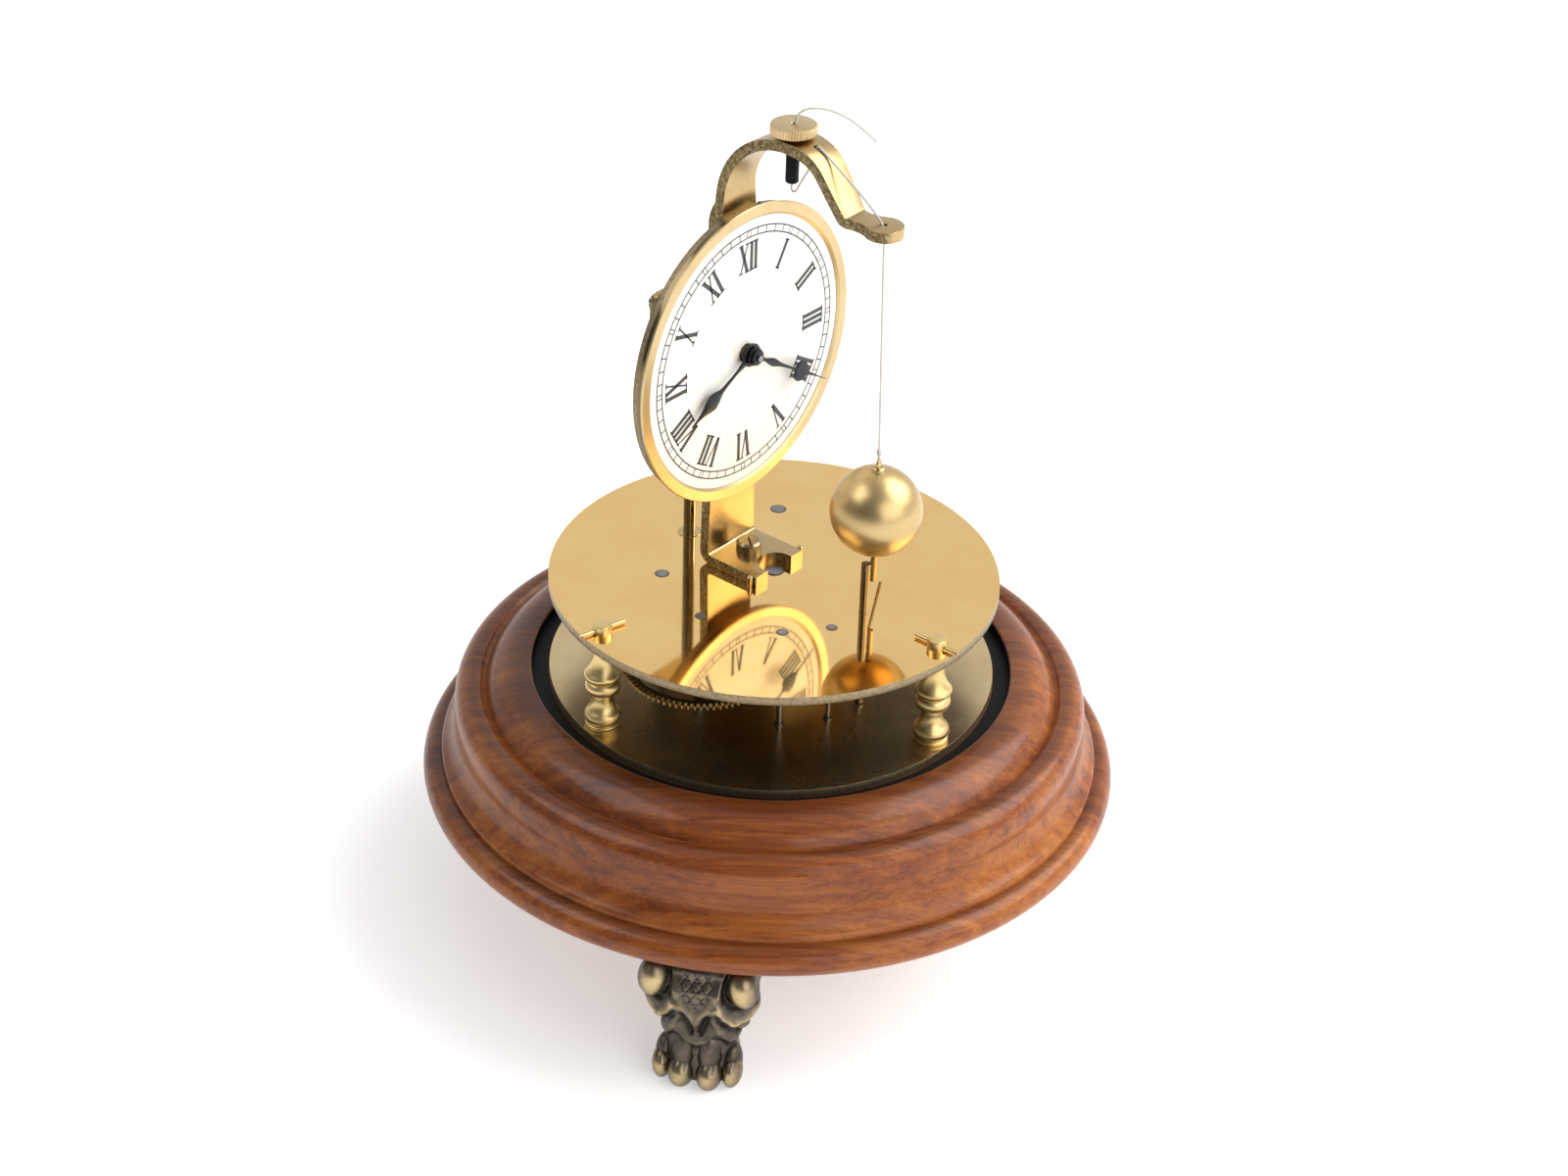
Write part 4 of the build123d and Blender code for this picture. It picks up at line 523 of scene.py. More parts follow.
# ---------------------------------------------------------------- ball and eyelet
def pendulum_ball():
    """Ball with flattened poles round its pin."""
    radius, steps = BALL_RADIUS, 72
    profile = [(0.0, -radius + 0.4), (0.95, -radius + 0.35)]
    for index in range(2, steps - 1):
        angle = math.pi * index / steps - math.pi / 2
        profile.append((radius * math.cos(angle), radius * math.sin(angle)))
    profile += [(0.9, radius - 0.3), (0.0, radius - 0.3)]
    verts, faces = lathe_mesh(profile, 144, place=moved(*BALL_AT))
    new_mesh("ball_visual", verts, faces, BALL, "pendulum", ("pendulum_ball",), 50)


def torus(centre, turn, major, minor, segments=40, sides=16):
    verts = []
    for a in circle(segments):
        for b in circle(sides):
            verts.append(centre + turn @ polar(major + minor * math.cos(b), a, minor * math.sin(b)))
    return verts, flipped(ring_faces(segments, sides, closed=True))


def ball_eyelet():
    crown = BALL_AT + Vector((0, 0, BALL_RADIUS))
    collar = [(0.0, -0.9), (1.85, -0.9), (1.95, -0.15), (1.9, 0.35), (1.7, 0.75), (1.25, 0.95), (0.0, 1.0)]
    turn = Matrix.Rotation(math.radians(25), 3, "Z") @ Matrix.Rotation(math.radians(90), 3, "X")
    ring = torus(crown + Vector((0, 0, 1.9)), turn, 1.3, 0.5)
    verts, faces = merge(lathe_mesh(collar, 48, place=moved(*crown)), ring)
    new_mesh("ball_eyelet_visual", verts, faces, PIN_BRASS, "pendulum", ("ball_eyelet",), 40)


# ---------------------------------------------------------------- claw feet
# height, then the section's centre out from the axis, half depth and half width
FOOT_LEVELS = (
    (0.0, 88.0, 6.6, 9.4), (1.5, 88.0, 7.6, 10.6), (5.0, 87.8, 8.2, 11.2), (10.0, 86.8, 8.4, 10.2),
    (15.0, 85.4, 9.4, 10.8), (20.0, 84.8, 10.8, 13.0), (26.0, 84.8, 12.2, 15.0), (32.0, 84.4, 12.2, 15.6),
    (37.0, 83.4, 11.0, 15.4), (40.0, 82.6, 9.8, 15.0))
FOOT_HEIGHT = 40.0
FOOT_REACH = 100.5              # the front of a foot stays inside the base's edge
DULL = 0.30                     # polish of the plain metal, from 0 to 1


def clamp(value, low=0.0, high=1.0):
    return max(low, min(high, value))


def smooth(t):
    return t * t * (3 - 2 * t)


def level_at(z):
    for (z0, *low), (z1, *high) in zip(FOOT_LEVELS, FOOT_LEVELS[1:]):
        if z <= z1:
            t = smooth((z - z0) / (z1 - z0))
            return [a + (b - a) * t for a, b in zip(low, high)]
    return list(FOOT_LEVELS[-1][1:])


def near_line(p, line):
    """Distance from a point to a broken line."""
    best = 1e9
    for (ax, ay), (bx, by) in zip(line, line[1:]):
        vx, vy = bx - ax, by - ay
        t = clamp(((p[0] - ax) * vx + (p[1] - ay) * vy) / (vx * vx + vy * vy))
        best = min(best, math.hypot(p[0] - ax - t * vx, p[1] - ay - t * vy))
    return best


def bell(distance, width):
    return math.exp(-(distance / width) ** 2)


# lines on the front of the foot as (sideways, height), with rise, width, polish and its width
FOOT_LINES = (
    # crescent under the knuckle
    (((6.0, 28.8), (7.0, 25.4), (9.4, 22.6), (12.0, 22.0), (15.6, 25.2)), 1.8, 1.25, 0.46, 0.95),
    # border of the panel between the knuckles
    (((8.6, 40.0), (6.4, 33.5), (3.8, 28.6), (1.2, 24.8), (0.0, 21.5)), 0.9, 1.1, 0.20, 1.0),
    # slanted hollows, then the bright lips beside them
    (((3.4, 25.0), (2.6, 21.6), (1.3, 18.2)), -1.3, 0.85, -0.30, 0.85),
    (((5.9, 25.4), (8.2, 20.8), (10.8, 16.8)), -1.5, 1.05, -0.30, 1.05),
    (((4.6, 28.0), (4.9, 23.6), (6.3, 19.0)), 0.9, 0.8, 0.13, 0.72),
    (((8.8, 22.6), (10.8, 19.6), (12.6, 17.2)), 0.8, 0.8, 0.13, 0.72),
)
CUFF = ((0.0, 13.6), (2.4, 14.2), (4.8, 17.0), (6.4, 16.6), (8.4, 13.8), (10.0, 13.6), (12.0, 16.0),
        (15.0, 17.0))


def foot_relief(y, z):
    """Relief of the front of the foot at width y and height z, and how rubbed it is."""
    a = abs(y)
    ring = math.hypot((a - 12.4) / 4.3, (z - 34.0) / 6.0)       # gutter round each knuckle
    rise, shine = -1.6 * bell(ring - 1.12, 0.20), DULL - 0.30 * bell(ring - 1.15, 0.24)
    for line, height, width, polish, polish_width in FOOT_LINES:
        away = near_line((a, z), line)
        rise += height * bell(away, width)
        shine += polish * bell(away, polish_width)
    if a < 4.6 and 27.5 + a * 1.1 < z < 37.5:                   # net between the knuckles
        u, v = (y + z * 0.72) / 2.9, (y - z * 0.72) / 2.9
        line = min(abs(math.sin(u * math.pi)), abs(math.sin(v * math.pi)))
        rise -= 0.5 * bell(line, 0.26)
        shine += 0.10 - 0.30 * bell(line, 0.24)
    over = z - between(a, CUFF)                                 # scalloped cuff over the ankle
    step = 1 / (1 + math.exp(-clamp(over, -8, 8) / 0.3))
    rise += step * max(0.0, 1 - max(0.0, over) / 7)
    shine += 0.12 * bell(over - 0.8, 0.6) - 0.18 * bell(over + 0.8, 0.9)
    return rise, shine


def between(x, table):
    """Value at x of a table of (x, value), held beyond its ends."""
    for (x0, y0), (x1, y1) in zip(table, table[1:]):
        if x0 <= x <= x1:
            return y0 + (y1 - y0) * (x - x0) / (x1 - x0)
    return table[-1][1] if x > table[-1][0] else table[0][1]


def ellipsoid(centre, half, lean=0.0, rows=28, around=40):
    """Closed ellipsoid leaning sideways by an angle."""
    turn = Matrix.Rotation(lean, 3, "X")
    verts = []
    for row in range(rows + 1):
        v = math.pi * row / rows
        for a in circle(around):
            unit = polar(math.sin(v), a, math.cos(v))
            verts.append(Vector(centre) + turn @ Vector([c * h for c, h in zip(unit, half)]))
    return verts, flipped(ring_faces(rows + 1, around))


def knuckle(side):
    verts, faces = ellipsoid((92.6, side * 12.4, 34.0), (4.9, 4.3, 6.0), lean=side * 0.12)
    shine = []
    for v in verts:
        off = ((v.y * side - 12.0) / 3.9) ** 2 + ((v.z - 33.6) / 5.6) ** 2
        shine.append(0.32 + 0.58 * max(0.0, 1 - off * 0.8))
    return verts, faces, shine


def finger(y, out, width, reach):
    verts, faces = ellipsoid((out, y, reach), (4.2, width, reach - 0.3))
    return verts, faces, [0.24 + 0.12 * bell(v.y - y, 1.4) for v in verts]


def toe(y, out, tip, width):
    """Toe tip with a groove round its claw."""
    verts, faces = ellipsoid((out, y, tip), (4.7, width, 4.9))
    shine = []
    for index, v in enumerate(verts):
        claw = math.hypot((v.y - y) / (width * 0.42), (v.z - tip - 3.4) / 1.8)
        crease = bell(claw - 1.0, 0.22) if v.z > tip + 2.4 else 0.0
        verts[index] = Vector((v.x - 0.35 * crease, v.y, max(v.z, 0.0)))
        near = math.hypot(v.y - y, (v.z - tip - 0.4) * 0.8)
        shine.append(0.26 + 0.56 * bell(near, 2.9) - 0.26 * crease)
    return verts, faces, shine


def foot_lumps():
    """Knuckles, fingers and toe tips as rounded lumps, each with its own polish."""
    lumps = []
    for side in (-1, 1):
        lumps.append(knuckle(side))
        for lateral, out, tip, width, reach in ((3.9, 95.7, 4.1, 3.7, 8.6), (9.7, 92.8, 4.0, 2.9, 6.0)):
            lumps.append(finger(side * (lateral - 0.4), out - 3.0, width * 0.98, reach))
            lumps.append(toe(side * lateral, out - 0.8, tip, width))
    return lumps


def foot_body(number, around=208, rows=150):
    """Leg of the foot: super-ellipse sections, with the relief pushed out of its front."""
    squareness = 2 / 2.25
    verts, relief = [], []
    for row in range(rows + 1):
        z = FOOT_HEIGHT * row / rows
        centre, depth, width = level_at(z)
        for t in circle(around):
            co, si = math.cos(t), math.sin(t)
            x = centre + depth * math.copysign(abs(co) ** squareness, co)
            y = width * math.copysign(abs(si) ** squareness, si)
            front = smooth(clamp((co + 0.25) / 0.5))
            rise, shine = foot_relief(y, z)
            if z < 1.6:
                rise -= (1.6 - z) ** 2 * 0.35
            wobble = perlin(Vector((x, y, z)) * 0.35 + Vector((number * 9.0, 0, 0)))
            out = Vector((co / depth, si / width, 0)).normalized()
            point = Vector((x, y, z)) + out * (rise * front + 0.12 * wobble)
            point.x = min(point.x, FOOT_REACH)
            verts.append(point)
            relief.append(clamp(DULL + (shine - DULL) * front))
    return verts, ring_faces(rows + 1, around, capped=True), relief


def foot_lug():
    """Flat lug behind the foot that is screwed under the base."""
    corners = [(64.0, -7.0), (78.0, -7.0), (78.0, 7.0), (64.0, 7.0)]
    angles = (math.pi / 2 + math.pi * k / 16 for k in range(1, 16))
    corners += [(64.0 + 7 * math.cos(a), 7 * math.sin(a)) for a in angles]
    verts = [Vector((x, y, z)) for z in (37.0, FOOT_HEIGHT) for x, y in corners]
    return verts, ring_faces(2, len(corners), capped=True)


def paw_feet():
    for number, angle in enumerate(FOOT_ANGLES, start=1):
        turn = Matrix.Rotation(math.radians(angle), 3, "Z")
        verts, faces, relief = foot_body(number)
        for lump_verts, lump_faces, lump_shine in foot_lumps():
            inside = [Vector((min(v.x, FOOT_REACH - 0.1), v.y, v.z)) for v in lump_verts]
            verts, faces = merge((verts, faces), (inside, lump_faces))
            relief += [clamp(value) for value in lump_shine]
        verts, faces = merge((verts, faces), foot_lug())
        relief += [DULL] * (len(verts) - len(relief))
        foot = new_mesh(f"paw_foot_{number}_visual", [turn @ v for v in verts], faces, CAST, "clock_frame",
                        (f"paw_foot_{number}",), 70)
        attribute = foot.data.attributes.new("relief", "FLOAT", "POINT")
        attribute.data.foreach_set("value", relief)


# ---------------------------------------------------------------- dial print
NUMERALS = ("XII", "I", "II", "III", "IIII", "V", "VI", "VII", "VIII", "IX", "X", "XI")
NUMERAL_FOOT, NUMERAL_HEIGHT = 24.3, 8.6
LETTER_WIDTH = {"I": 1.75, "V": 4.0, "X": 4.2}
THICK, THIN, SERIF = 1.20, 0.50, 0.42
TRACK_INNER, TRACK_OUTER, TRACK_HALF = 34.35, 36.4, 0.19
PRINT_Y = 12.6 - 0.035          # just in front of the enamel


def bar(p, q, width):
    """Flat quadrilateral from p to q."""
    dx, dy = q[0] - p[0], q[1] - p[1]
    length = math.hypot(dx, dy)
    nx, ny = -dy / length / 2 * width, dx / length / 2 * width
    return [(p[0] + nx, p[1] + ny), (p[0] - nx, p[1] - ny), (q[0] - nx, q[1] - ny), (q[0] + nx, q[1] + ny)]


def glyph(letter, left):
    """Shapes of one Roman letter with its serifs."""
    right, top = left + LETTER_WIDTH[letter], NUMERAL_HEIGHT
    low, high = SERIF / 2, top - SERIF / 2

    def serif(start, end, y):
        return bar((start, y), (end, y), SERIF)

    if letter == "I":
        x = left + 0.95
        return [bar((x, 0), (x, top), THICK), serif(x - 0.95, x + 0.95, low), serif(x - 0.95, x + 0.95, high)]
    if letter == "V":
        foot = ((left + right) / 2, 0.1)
        return [bar((left + 0.75, top), foot, THICK), bar((right - 0.5, top), foot, THIN),
                serif(left - 0.15, left + 1.75, high), serif(right - 1.25, right + 0.2, high)]
    shapes = [bar((left + 0.7, top), (right - 0.7, 0), THICK), bar((right - 0.7, top), (left + 0.7, 0), THIN)]
    for y in (low, high):
        shapes += [serif(left - 0.15, left + 1.65, y), serif(right - 1.65, right + 0.15, y)]
    return shapes


def five_minute_mark():
    """Two curved strokes back to back."""
    shapes = []
    for side in (-1, 1):
        right = ((0.37, 34.45), (0.63, 34.95), (0.67, 35.4), (0.63, 35.85), (0.37, 36.35))
        curve = [(side * x, y) for x, y in right]
        shapes += [bar(p, q, 0.28) for p, q in zip(curve, curve[1:])]
    return shapes


def dial_print():
    verts, faces = [], []

    def lay(shape, degrees):
        """Add a flat shape, turned clockwise from XII."""
        start = len(verts)
        for point in shape:
            x, y = spin(point, math.radians(degrees))
            verts.append((x, PRINT_Y, DIAL_Z + y))
        faces.append(tuple(range(start, start + len(shape))))

    for hour, text in enumerate(NUMERALS):
        cursor = -sum(LETTER_WIDTH[letter] for letter in text) / 2
        for letter in text:
            for shape in glyph(letter, cursor):
                lay([(x, y + NUMERAL_FOOT) for x, y in shape], hour * 30)
            cursor += LETTER_WIDTH[letter]
    steps = 240
    for radius in (TRACK_INNER, TRACK_OUTER):
        inner, outer = (0, radius - TRACK_HALF), (0, radius + TRACK_HALF)
        for step in range(steps):
            a, b = 2 * math.pi * step / steps, 2 * math.pi * (step + 1) / steps
            lay([spin(inner, a), spin(outer, a), spin(outer, b), spin(inner, b)], 0)
    for minute in range(60):
        for shape in ([bar((0, 34.4), (0, 36.4), 0.34)] if minute % 5 else five_minute_mark()):
            lay(shape, minute * 6)
    new_mesh("dial_print", verts, faces, INK, "clock_frame")


# ---------------------------------------------------------------- hands
SPINE = ((-1.0, 0.0), (-0.55, 0.72), (0.0, 1.0), (0.55, 0.72), (1.0, 0.0))     # places across, and how raised
CROWN = 0.18                    # height of the spine


def spread(profile, count=8):
    """Smooth curve through (half width, distance) points."""
    points = []
    for index in range(len(profile) - 1):
        p0 = profile[max(index - 1, 0)]
        p1, p2 = profile[index], profile[index + 1]
        p3 = profile[min(index + 2, len(profile) - 1)]
        for step in range(count):
            t = step / count
            points.append(tuple(
                0.5 * (2 * b + (c - a) * t + (2 * a - 5 * b + 4 * c - d) * t**2
                       + (3 * b - a - 3 * c + d) * t**3)
                for a, b, c, d in zip(p0, p1, p2, p3)))
    points.append(profile[-1])
    return [(max(x, 0.06), y) for x, y in points]


def blade(profile, degrees, front, back):
    """Hand blade with a raised spine, turned clockwise from XII."""
    rows = []
    for half, y in spread(profile):
        raised = CROWN * min(1.0, half / 0.8)
        row = [(half * across, (back - front) * 0.55 + raised * lift) for across, lift in SPINE]
        rows.append([(x, y, out) for x, out in row + [(half, 0.0), (-half, 0.0)]])
    place = on_dial(back)
    verts = [place((*spin((x, y), math.radians(degrees)), out)) for row in rows for x, y, out in row]
    return verts, ring_faces(len(rows), len(rows[0]), capped=True)


def disc_stack(profile, back):
    """Turned boss on the dial axis: (radius, distance forward of back)."""
    return lathe_mesh(profile, 64, place=on_dial(back))


def hands():
    hour = blade([(1.5, 0.0), (1.0, 3.6), (0.52, 6.5), (0.55, 10.5), (0.85, 13.6), (2.0, 16.0), (2.55, 17.8),
                  (2.1, 19.6), (1.0, 22.2), (0.42, 24.6), (0.16, 27.4)], 242.0, 10.2, 10.7)
    hub = disc_stack([(2.25, -0.9), (3.0, -0.9), (3.1, -0.75), (3.1, -0.05), (3.35, 0.0), (3.35, 0.42),
                      (3.2, 0.56), (2.25, 0.6)], 10.7)
    new_mesh("hour_hand_visual", *merge(hour, hub), BLACK, "hour_group", ("hour_hand",), 40)
    minute = blade([(1.3, 0.0), (0.75, 3.2), (0.5, 5.0), (1.0, 7.6), (1.15, 9.4), (0.62, 12.6), (0.42, 17.2),
                    (0.5, 20.3), (2.55, 21.6), (3.05, 23.3), (2.45, 25.2), (0.85, 27.1), (0.34, 28.8),
                    (0.2, 32.0), (0.1, 36.6)], 121.0, 8.8, 9.3)
    hub = disc_stack([(1.45, -0.25), (2.5, -0.25), (2.62, -0.1), (2.62, 0.35), (2.5, 0.5), (1.45, 0.52)], 9.3)
    new_mesh("minute_hand_visual", *merge(minute, hub), BLACK, "minute_group", ("minute_hand",), 40)
    collet = disc_stack([(1.0, 0.0), (2.3, 0.0), (2.3, 0.2), (2.05, 0.28), (2.05, 0.4), (2.3, 0.48),
                         (2.25, 0.7), (1.9, 0.88), (1.35, 0.9), (1.0, 0.84)], 8.8)
    new_mesh("hand_collet_visual", *collet, BLACK, "minute_group", ("hand_collet",), 40)


# ---------------------------------------------------------------- threads
DRIVE_Y = -32.0
SCREW_Y = -1.3
EYE_TOP = TOP + 116.9
PIVOT = EYE_TOP - 1.9
THREAD_RADIUS = 0.32
GUIDE_ROUTE = (
    (0.0, DRIVE_Y, PIVOT + 0.1), (0.0, DRIVE_Y, EYE_TOP + 0.75), (0.0, -10.9, TOP + 131.15),
    (0.0, -9.25, TOP + 131.75), (0.0, -8.8, TOP + 130.15), (0.0, -8.7, TOP + 127.6), (0.0, -4.9, TOP + 121.2),
    (0.0, -3.3, TOP + 118.0), (0.0, -2.4, TOP + 116.6), (0.0, -1.15, TOP + 116.95), (0.0, -1.3, TOP + 119.2),
    (0.05, -1.35, TOP + 137.0), (1.6, -3.2, TOP + 139.6), (4.6, -7.0, TOP + 140.1), (8.2, -11.4, TOP + 138.1),
    (11.2, -15.2, TOP + 134.7), (13.4, -18.0, TOP + 131.3),
)


def nurbs(name, points, radius, body, cyclic=False, replaced=()):
    """Round thread along a smooth line whose control points are given in millimetres."""
    curve = bpy.data.curves.new(name, "CURVE")
    curve.dimensions = "3D"
    spline = curve.splines.new("NURBS")
    spline.points.add(len(points) - 1)
    for point, place in zip(spline.points, points):
        point.co = (*(Vector(place) * MM), 1.0)
    spline.order_u = 3
    spline.use_cyclic_u = cyclic
    if not cyclic:
        spline.use_endpoint_u = True
    spline.resolution_u = 10
    curve.bevel_depth = radius * MM
    curve.bevel_resolution = 5
    curve.use_fill_caps = True
    curve.materials.append(THREAD)
    return placed(bpy.data.objects.new(name, curve), body, replaced)


def thread_knot(centre, up, turns=22, per_turn=8):
    """Turns of thin thread wound up the hanging thread, fullest in the middle."""
    wound = []
    for index in range(turns):
        swell = 0.42 + 0.16 * math.sin(math.pi * index / (turns - 1))
        wound.append(centre + up * (-0.5 + 0.085 * index) + polar(swell, 2 * math.pi * index / per_turn))
    return nurbs("thread_knot", wound, 0.22, "pendulum")


def threads():
    guide = nurbs("suspension_thread_visual", GUIDE_ROUTE, THREAD_RADIUS, "clock_frame",
                  replaced=("suspension_thread",))
    tuple(v * MM for v in GUIDE_ROUTE[0])
    high = Vector((0.0, DRIVE_Y, PIVOT - 0.4))
    low = BALL_AT + Vector((0, 0, BALL_RADIUS + 3.75))
    hanging = nurbs("hanging_thread_visual", (high, low), THREAD_RADIUS, "pendulum",
                    replaced=("hanging_thread",))
    up = (high - low).normalized()
    knot_at = low + up * 0.9
    knot = thread_knot(knot_at, up)
    eye = BALL_AT + Vector((0, 0, BALL_RADIUS + 3.2))
    loop = [eye + polar(0.72 * math.cos(a), 0.9, 0.78 * math.sin(a)) for a in circle(10)]
    ring = nurbs("thread_loop", loop, 0.26, "pendulum", cyclic=True)
    for number, (heading, reach) in enumerate(((2.7, 2.0), (1.3, 1.5)), start=1):
        out = polar(reach, heading, 0.9 * reach)
        droop = ((0.0, 0.0), (0.5, 0.0), (0.8, -0.1), (1.0, -0.45))
        points = [knot_at + out * along + Vector((0, 0, down)) for along, down in droop]
        nurbs(f"thread_end_{number}", points, 0.2, "pendulum")


# ---------------------------------------------------------------- painted shade round the pivots
# places of the pivots in the upper plate, and their radii
PIVOTS = (((-22.5, 22.3), 1.7), ((-31.7, -0.3), 1.45), ((-23.0, -22.0), 1.35), ((-12.1, -30.5), 1.25),
          ((27.0, 21.0), 2.0), ((0.0, 0.0), 2.4))


def pivot_shade_rings():
    """Painted shade: a near-black ring round each pivot, standing in for the shaded recess round the pivot
    hole.
    """
    parts = []
    for (x, y), radius in PIVOTS:
        section = ((-0.12, 0.004), (0.0, 0.045), (0.22, 0.03), (0.36, 0.004))
        parts.append(lathe_mesh([(radius + out, TOP + up) for out, up in section], 40, place=moved(x, y, 0)))
    new_mesh("pivot_shade_rings", *merge(*parts), PIVOT_SHADE, "clock_frame", sharp=60)


# ---------------------------------------------------------------- floor, camera and light
AZIMUTH, ELEVATION, ROLL = (math.radians(v) for v in (-51.5, 32.1, 2.13))
CAMERA_AT = Vector((-0.5421, -0.4349, 0.5383))
RIGHT = Vector((math.cos(AZIMUTH), math.sin(AZIMUTH), 0))
AWAY = Vector((-math.sin(AZIMUTH), math.cos(AZIMUTH), 0))
CLOCK_MIDDLE = Vector((0, 0, 0.1))


def stage():
    mesh = bpy.data.meshes.new("floor")
    mesh.from_pydata([(-6, -6, 0), (6, -6, 0), (6, 6, 0), (-6, 6, 0)], [], [(0, 1, 2, 3)])
    mesh.materials.append(floor_paint())
    floor = bpy.data.objects.new("floor", mesh)
    bpy.context.scene.collection.objects.link(floor)


def camera():
    data = bpy.data.cameras.new("camera")
    data.lens = 66.65
    data.sensor_width = 36.0
    data.clip_start, data.clip_end = 0.05, 30.0
    cam = bpy.data.objects.new("camera", data)
    bpy.context.scene.collection.objects.link(cam)
    back = -AWAY * math.cos(ELEVATION) + Vector((0, 0, math.sin(ELEVATION)))
    up = back.cross(RIGHT)
    x = RIGHT * math.cos(ROLL) + up * math.sin(ROLL)
    y = up * math.cos(ROLL) - RIGHT * math.sin(ROLL)
    cam.matrix_world = Matrix((*zip(x, y, back, CAMERA_AT), (0, 0, 0, 1)))
    bpy.context.scene.camera = cam


def area_light(name, place, target, size, power, size_y=None, glossy=True, diffuse=True):
    data = bpy.data.lights.new(name, "AREA")
    data.shape = "RECTANGLE"
    data.size, data.size_y = size, size_y or size
    data.energy = power
    light = bpy.data.objects.new(name, data)
    light.location = place
    light.visible_glossy = glossy
    light.visible_diffuse = diffuse
    light.rotation_mode = "QUATERNION"
    light.rotation_quaternion = (target - place).to_track_quat("-Z", "Y")
    bpy.context.scene.collection.objects.link(light)


def white_room():
    """World bright behind and above, dimmer on the camera's side, and plain white to the camera itself."""
    world = bpy.data.worlds.new("studio")
    bpy.context.scene.world = world
    n = Nodes("studio", world)
    across = n.split(n.mapping(rotation=(0, 0, math.radians(76.5)), source="Generated"))["Y"]
    shade = n.ramp(n.range(across, -0.9, 0.5), (0.0, (0.13, 0.13, 0.135)), (0.45, (0.30, 0.30, 0.305)),
                   (1.0, (0.93, 0.93, 0.93)))
    room = n.add("ShaderNodeBackground", {"Color": shade, "Strength": 1.0})
    seen = n.add("ShaderNodeBackground", {"Color": (1, 1, 1, 1), "Strength": 1.05})
    camera_ray = n.add("ShaderNodeLightPath").outputs["Is Camera Ray"]
    blend = n.add("ShaderNodeMixShader", {0: camera_ray, 1: room.outputs[0], 2: seen.outputs[0]})
    n.tree.links.new(blend.outputs[0], n.out.inputs["Surface"])


def studio():
    white_room()

    def place(right, away, up):
        return RIGHT * right + AWAY * away + Vector((0, 0, up))

    area_light("key", place(1.0, 0.22, 1.15), CLOCK_MIDDLE, 1.2, 19.0)
    area_light("side", place(0.95, -1.05, 0.8), CLOCK_MIDDLE, 1.6, 12.5, size_y=1.2)
    area_light("fill", place(-1.2, -0.35, 1.0), CLOCK_MIDDLE, 0.7, 0.7, glossy=False)
    area_light("sheen", Vector((-0.60, 0.56, 1.15)), Vector((0, 0, 0.15)), 0.9, 5.5, size_y=0.7,
               diffuse=False)
    scene = bpy.context.scene
    scene.view_settings.view_transform = "Standard"
    scene.view_settings.look = "None"
    scene.view_settings.exposure = 0.0
    scene.cycles.max_bounces = 10
    scene.cycles.glossy_bounces = 6
    scene.cycles.use_denoising = True


# ---------------------------------------------------------------- bent strip
HALF = 1.5                      # half the strip's thickness
MIDDLE = 17.6                   # depth of the upright's centreline
FOOT_BEND, ARM_BEND = 2.6, 2.3
ARM_END = -37.15
SIDE_TAPER = ((0.0, 10.2), (3.0, 10.2), (106.5, 7.0), (113.7, 6.3), (121.0, 6.05))
PLAN_TAPER = ((-21.5, 4.3), (-19.0, 4.6), (-12.0, 5.1), (0.0, 5.75), (14.8, 6.05), (30.0, 6.05))
NECK = ((4.3, -21.5), (3.5, -26.2), (4.3, -29.1))
EYE_RADIUS = 5.2


def strip_path():
    """Centreline of the strip as (y, height above the plate, direction), foot to eye."""
    foot = (-1.8, -0.9, 0.0, 1.5, 3.0, 4.5, 6.0, 8.0, 10.0, 12.0, 13.5, MIDDLE - FOOT_BEND)
    points = [(y, HALF, 0.0) for y in foot]

    def straight(y, z, count):
        start_y, start_z, angle = points[-1]
        for step in range(1, count + 1):
            t = step / count
            points.append((start_y + (y - start_y) * t, start_z + (z - start_z) * t, angle))

    def bend(radius, sweep, count):
        y, z, angle = points[-1]
        side = math.copysign(radius, sweep)
        cy, cz = y - side * math.sin(angle), z + side * math.cos(angle)
        for step in range(1, count + 1):
            a = angle + math.radians(sweep) * step / count
            points.append((cy + side * math.sin(a), cz - side * math.cos(a), a))

    bend(FOOT_BEND, 90, 12)
    straight(MIDDLE, 110.7, 29)
    bend(20.1, 107.5, 72)
    bend(10.5, 36.5, 24)
    y, z, angle = points[-1]
    slope = math.radians(54)
    drop = z - (EYE_TOP - TOP - HALF) - ARM_BEND * (1 - math.cos(slope))
    reach = drop / math.sin(slope)
    straight(y + reach * math.cos(angle), z + reach * math.sin(angle), 9)
    bend(ARM_BEND, -54, 10)
    straight(ARM_END, points[-1][1], 40)
    return points


def strip_half_width(y, z):
    """Half width at a point of the strip, from the side taper behind and the plan taper in front."""
    if y >= -2.5 and z < 121.0:
        return between(z, SIDE_TAPER)
    if y >= NECK[0][1]:
        return between(y, PLAN_TAPER)
    if y >= NECK[-1][1]:
        return min(arc_points(*NECK, 60), key=lambda p: abs(p[1] - y))[0]
    return math.sqrt(max(EYE_RADIUS**2 - (y - DRIVE_Y) ** 2, 0.0))


def strip_section(half_width):
    """Rounded rectangle across the strip: (sideways, through) points."""
    r = min(0.28, half_width * 0.4)
    w, t = half_width - r, HALF - r
    corners = []
    for cx, cy, start in ((w, t, 0), (-w, t, 90), (-w, -t, 180), (w, -t, 270)):
        for step in range(4):
            a = math.radians(start + 30 * step)
            corners.append((cx + r * math.cos(a), cy + r * math.sin(a)))
    return corners


def face_outwards(mesh):
    work = bmesh.new()
    work.from_mesh(mesh)
    bmesh.ops.recalc_face_normals(work, faces=work.faces)
    work.to_mesh(mesh)
    work.free()


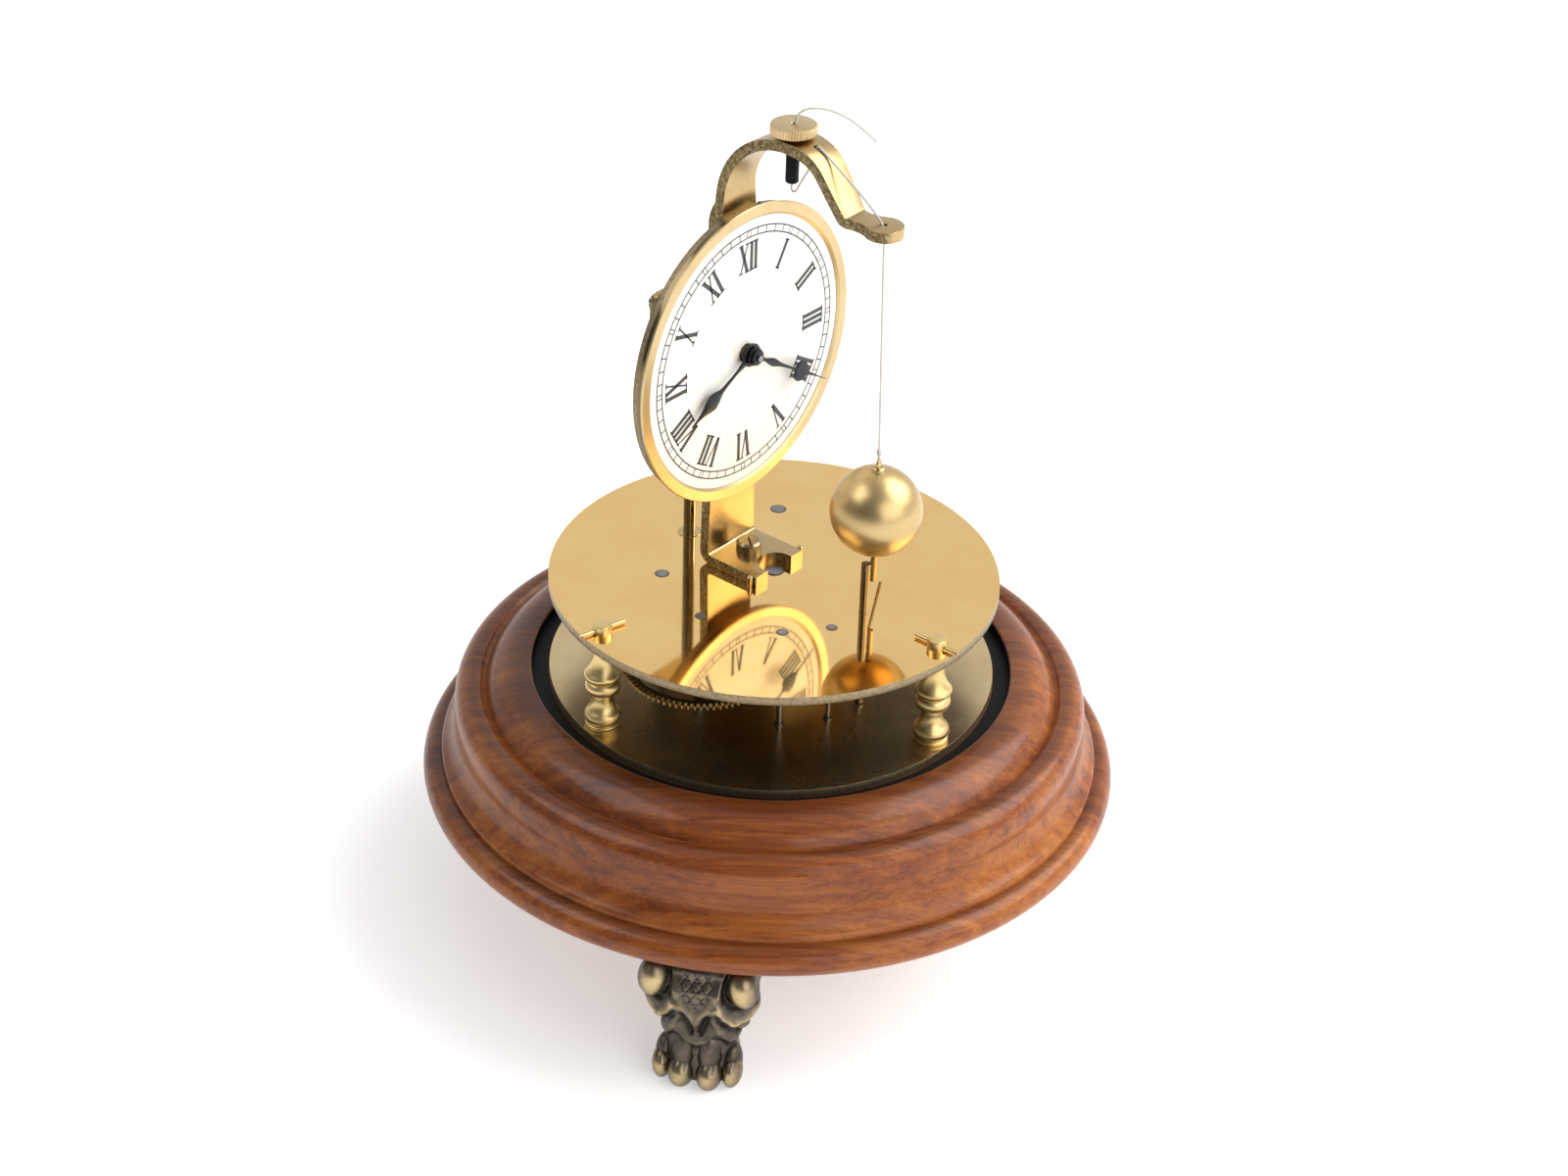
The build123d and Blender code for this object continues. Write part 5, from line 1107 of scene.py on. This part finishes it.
def bore(obj, radius, low, high, segments, place):
    """Cut a round hole through an object and keep the result as its mesh."""
    verts, faces = lathe_mesh([(0, low), (radius, low), (radius, high), (0, high)], segments, place=place)
    mesh = bpy.data.meshes.new("cutter")
    mesh.from_pydata([v * MM for v in verts], [], faces)
    face_outwards(mesh)
    cutter = bpy.data.objects.new("cutter", mesh)
    bpy.context.scene.collection.objects.link(cutter)
    modifier = obj.modifiers.new("hole", "BOOLEAN")
    modifier.operation = "DIFFERENCE"
    modifier.solver = "EXACT"
    modifier.object = cutter
    bpy.context.view_layer.update()
    cut = bpy.data.meshes.new_from_object(obj.evaluated_get(bpy.context.evaluated_depsgraph_get()))
    obj.modifiers.clear()
    obj.data = cut
    bpy.data.objects.remove(cutter)


def bent_strip():
    """Swept strip with smooth bends and its holes."""
    sharp = 34
    path = strip_path()
    verts = []
    for y, z, a in path:
        section = strip_section(max(strip_half_width(y, z), 0.4))
        for side, through in section:
            verts.append((side, y - through * math.sin(a), TOP + z + through * math.cos(a)))
    faces = ring_faces(len(path), len(section), capped=True)
    strip = new_mesh("bent_strip", verts, faces, STRIP, "clock_frame", ("pendulum_bracket",), sharp)
    face_outwards(strip.data)
    bore(strip, 5.3, TOP - 1, TOP + 5, 64, moved(0, -0.5, 0))                   # foot screw
    bore(strip, 0.8, EYE_TOP - 8, EYE_TOP + 2, 24, moved(0, DRIVE_Y, 0))        # eye
    bore(strip, 0.8, TOP + 125, TOP + 140, 24, moved(0, -9.0, 0))               # thread hole
    bore(strip, 1.87, TOP + 126, TOP + 140, 32, moved(0, SCREW_Y, 0))           # thumb screw
    bore(strip, 0.95, -3, 3, 24, lambda p: Vector((p.x, MIDDLE + p.z, DIAL_Z + p.y)))
    strip.data.set_sharp_from_angle(angle=math.radians(sharp))


# ---------------------------------------------------------------- thumb screw
KNURLS = 48
SCREW_THREAD = ((1.82, 0.0), (1.82, 0.16), (1.52, 0.36), (1.52, 0.5))       # radius and height in one turn


def thumb_screw():
    """Knurled brass head on a dark threaded shank, bored for the thread."""
    foot, low, high = TOP + 119.2, TOP + 133.0, TOP + 135.6
    brass_slot, black_slot = 0, 1
    # radius, height, depth of the knurling and material slot of the band below
    profile = [(0.6, foot, 0, black_slot), (1.45, foot, 0, black_slot), (1.72, foot + 0.3, 0, black_slot)]
    z = foot + 0.4
    while z < low - 0.9:
        profile += [(r, z + up, 0, black_slot) for r, up in SCREW_THREAD]
        z += 0.7
    profile += [(1.7, low - 0.6, 0, black_slot), (1.7, low - 0.36, 0, black_slot)]
    profile += [(r, z, knurl, brass_slot) for r, z, knurl in (
        (2.9, low - 0.35, 0), (2.9, low - 0.02, 0), (5.6, low, 0), (5.95, low + 0.12, 0),
        (6.2, low + 0.34, 0.32), (6.2, high - 0.3, 0.32), (5.98, high - 0.1, 0.05), (5.7, high, 0),
        (0.8, high, 0), (0.6, high - 0.2, 0))]
    profile += [(0.6, foot, 0, black_slot)]
    around = KNURLS * 8
    verts, slots = [], []
    for radius, z, knurl, slot in profile:
        for a in circle(around):
            groove = 0.5 - 0.5 * math.cos(KNURLS * a)
            verts.append(polar(radius - knurl * groove ** 1.5, a, z) + Vector((0, SCREW_Y, 0)))
        slots += [slot] * around
    screw = new_mesh("thumb_screw_visual", verts, ring_faces(len(profile), around), KNURLED,
                     "thumb_screw_body", ("thumb_screw",), 30)
    screw.data.materials.append(BLACK_SCREW)
    screw.data.polygons.foreach_set("material_index", slots[around:])


# ---------------------------------------------------------------- carried-over nodes
EDGE_WIDTHS = {"upper_plate": 0.14, "lower_plate": 0.14, "dial_case": 0.12, "rear_bridge": 0.18,
               "motion_cock": 0.18, "bracket_dowels": 0.12, "cock_pillars": 0.1}


def smooth_nodes():
    """Small rounded edges on the machined CAD pieces."""
    for name, width in EDGE_WIDTHS.items():
        weld = nodes[name].modifiers.new("weld", "WELD")
        weld.merge_threshold = 0.00001
        bevel = nodes[name].modifiers.new("edges", "BEVEL")
        bevel.width = width * MM
        bevel.segments = 2
        bevel.limit_method = "ANGLE"
        bevel.angle_limit = math.radians(38)


bent_strip()
thumb_screw()
# Painted shade rings round the pivots.
pivot_shade_rings()
smooth_nodes()
wooden_base()
recess_lining()
pillars()
pendulum_ball()
ball_eyelet()
paw_feet()
dial_print()
hands()
threads()
stage()
camera()
studio()
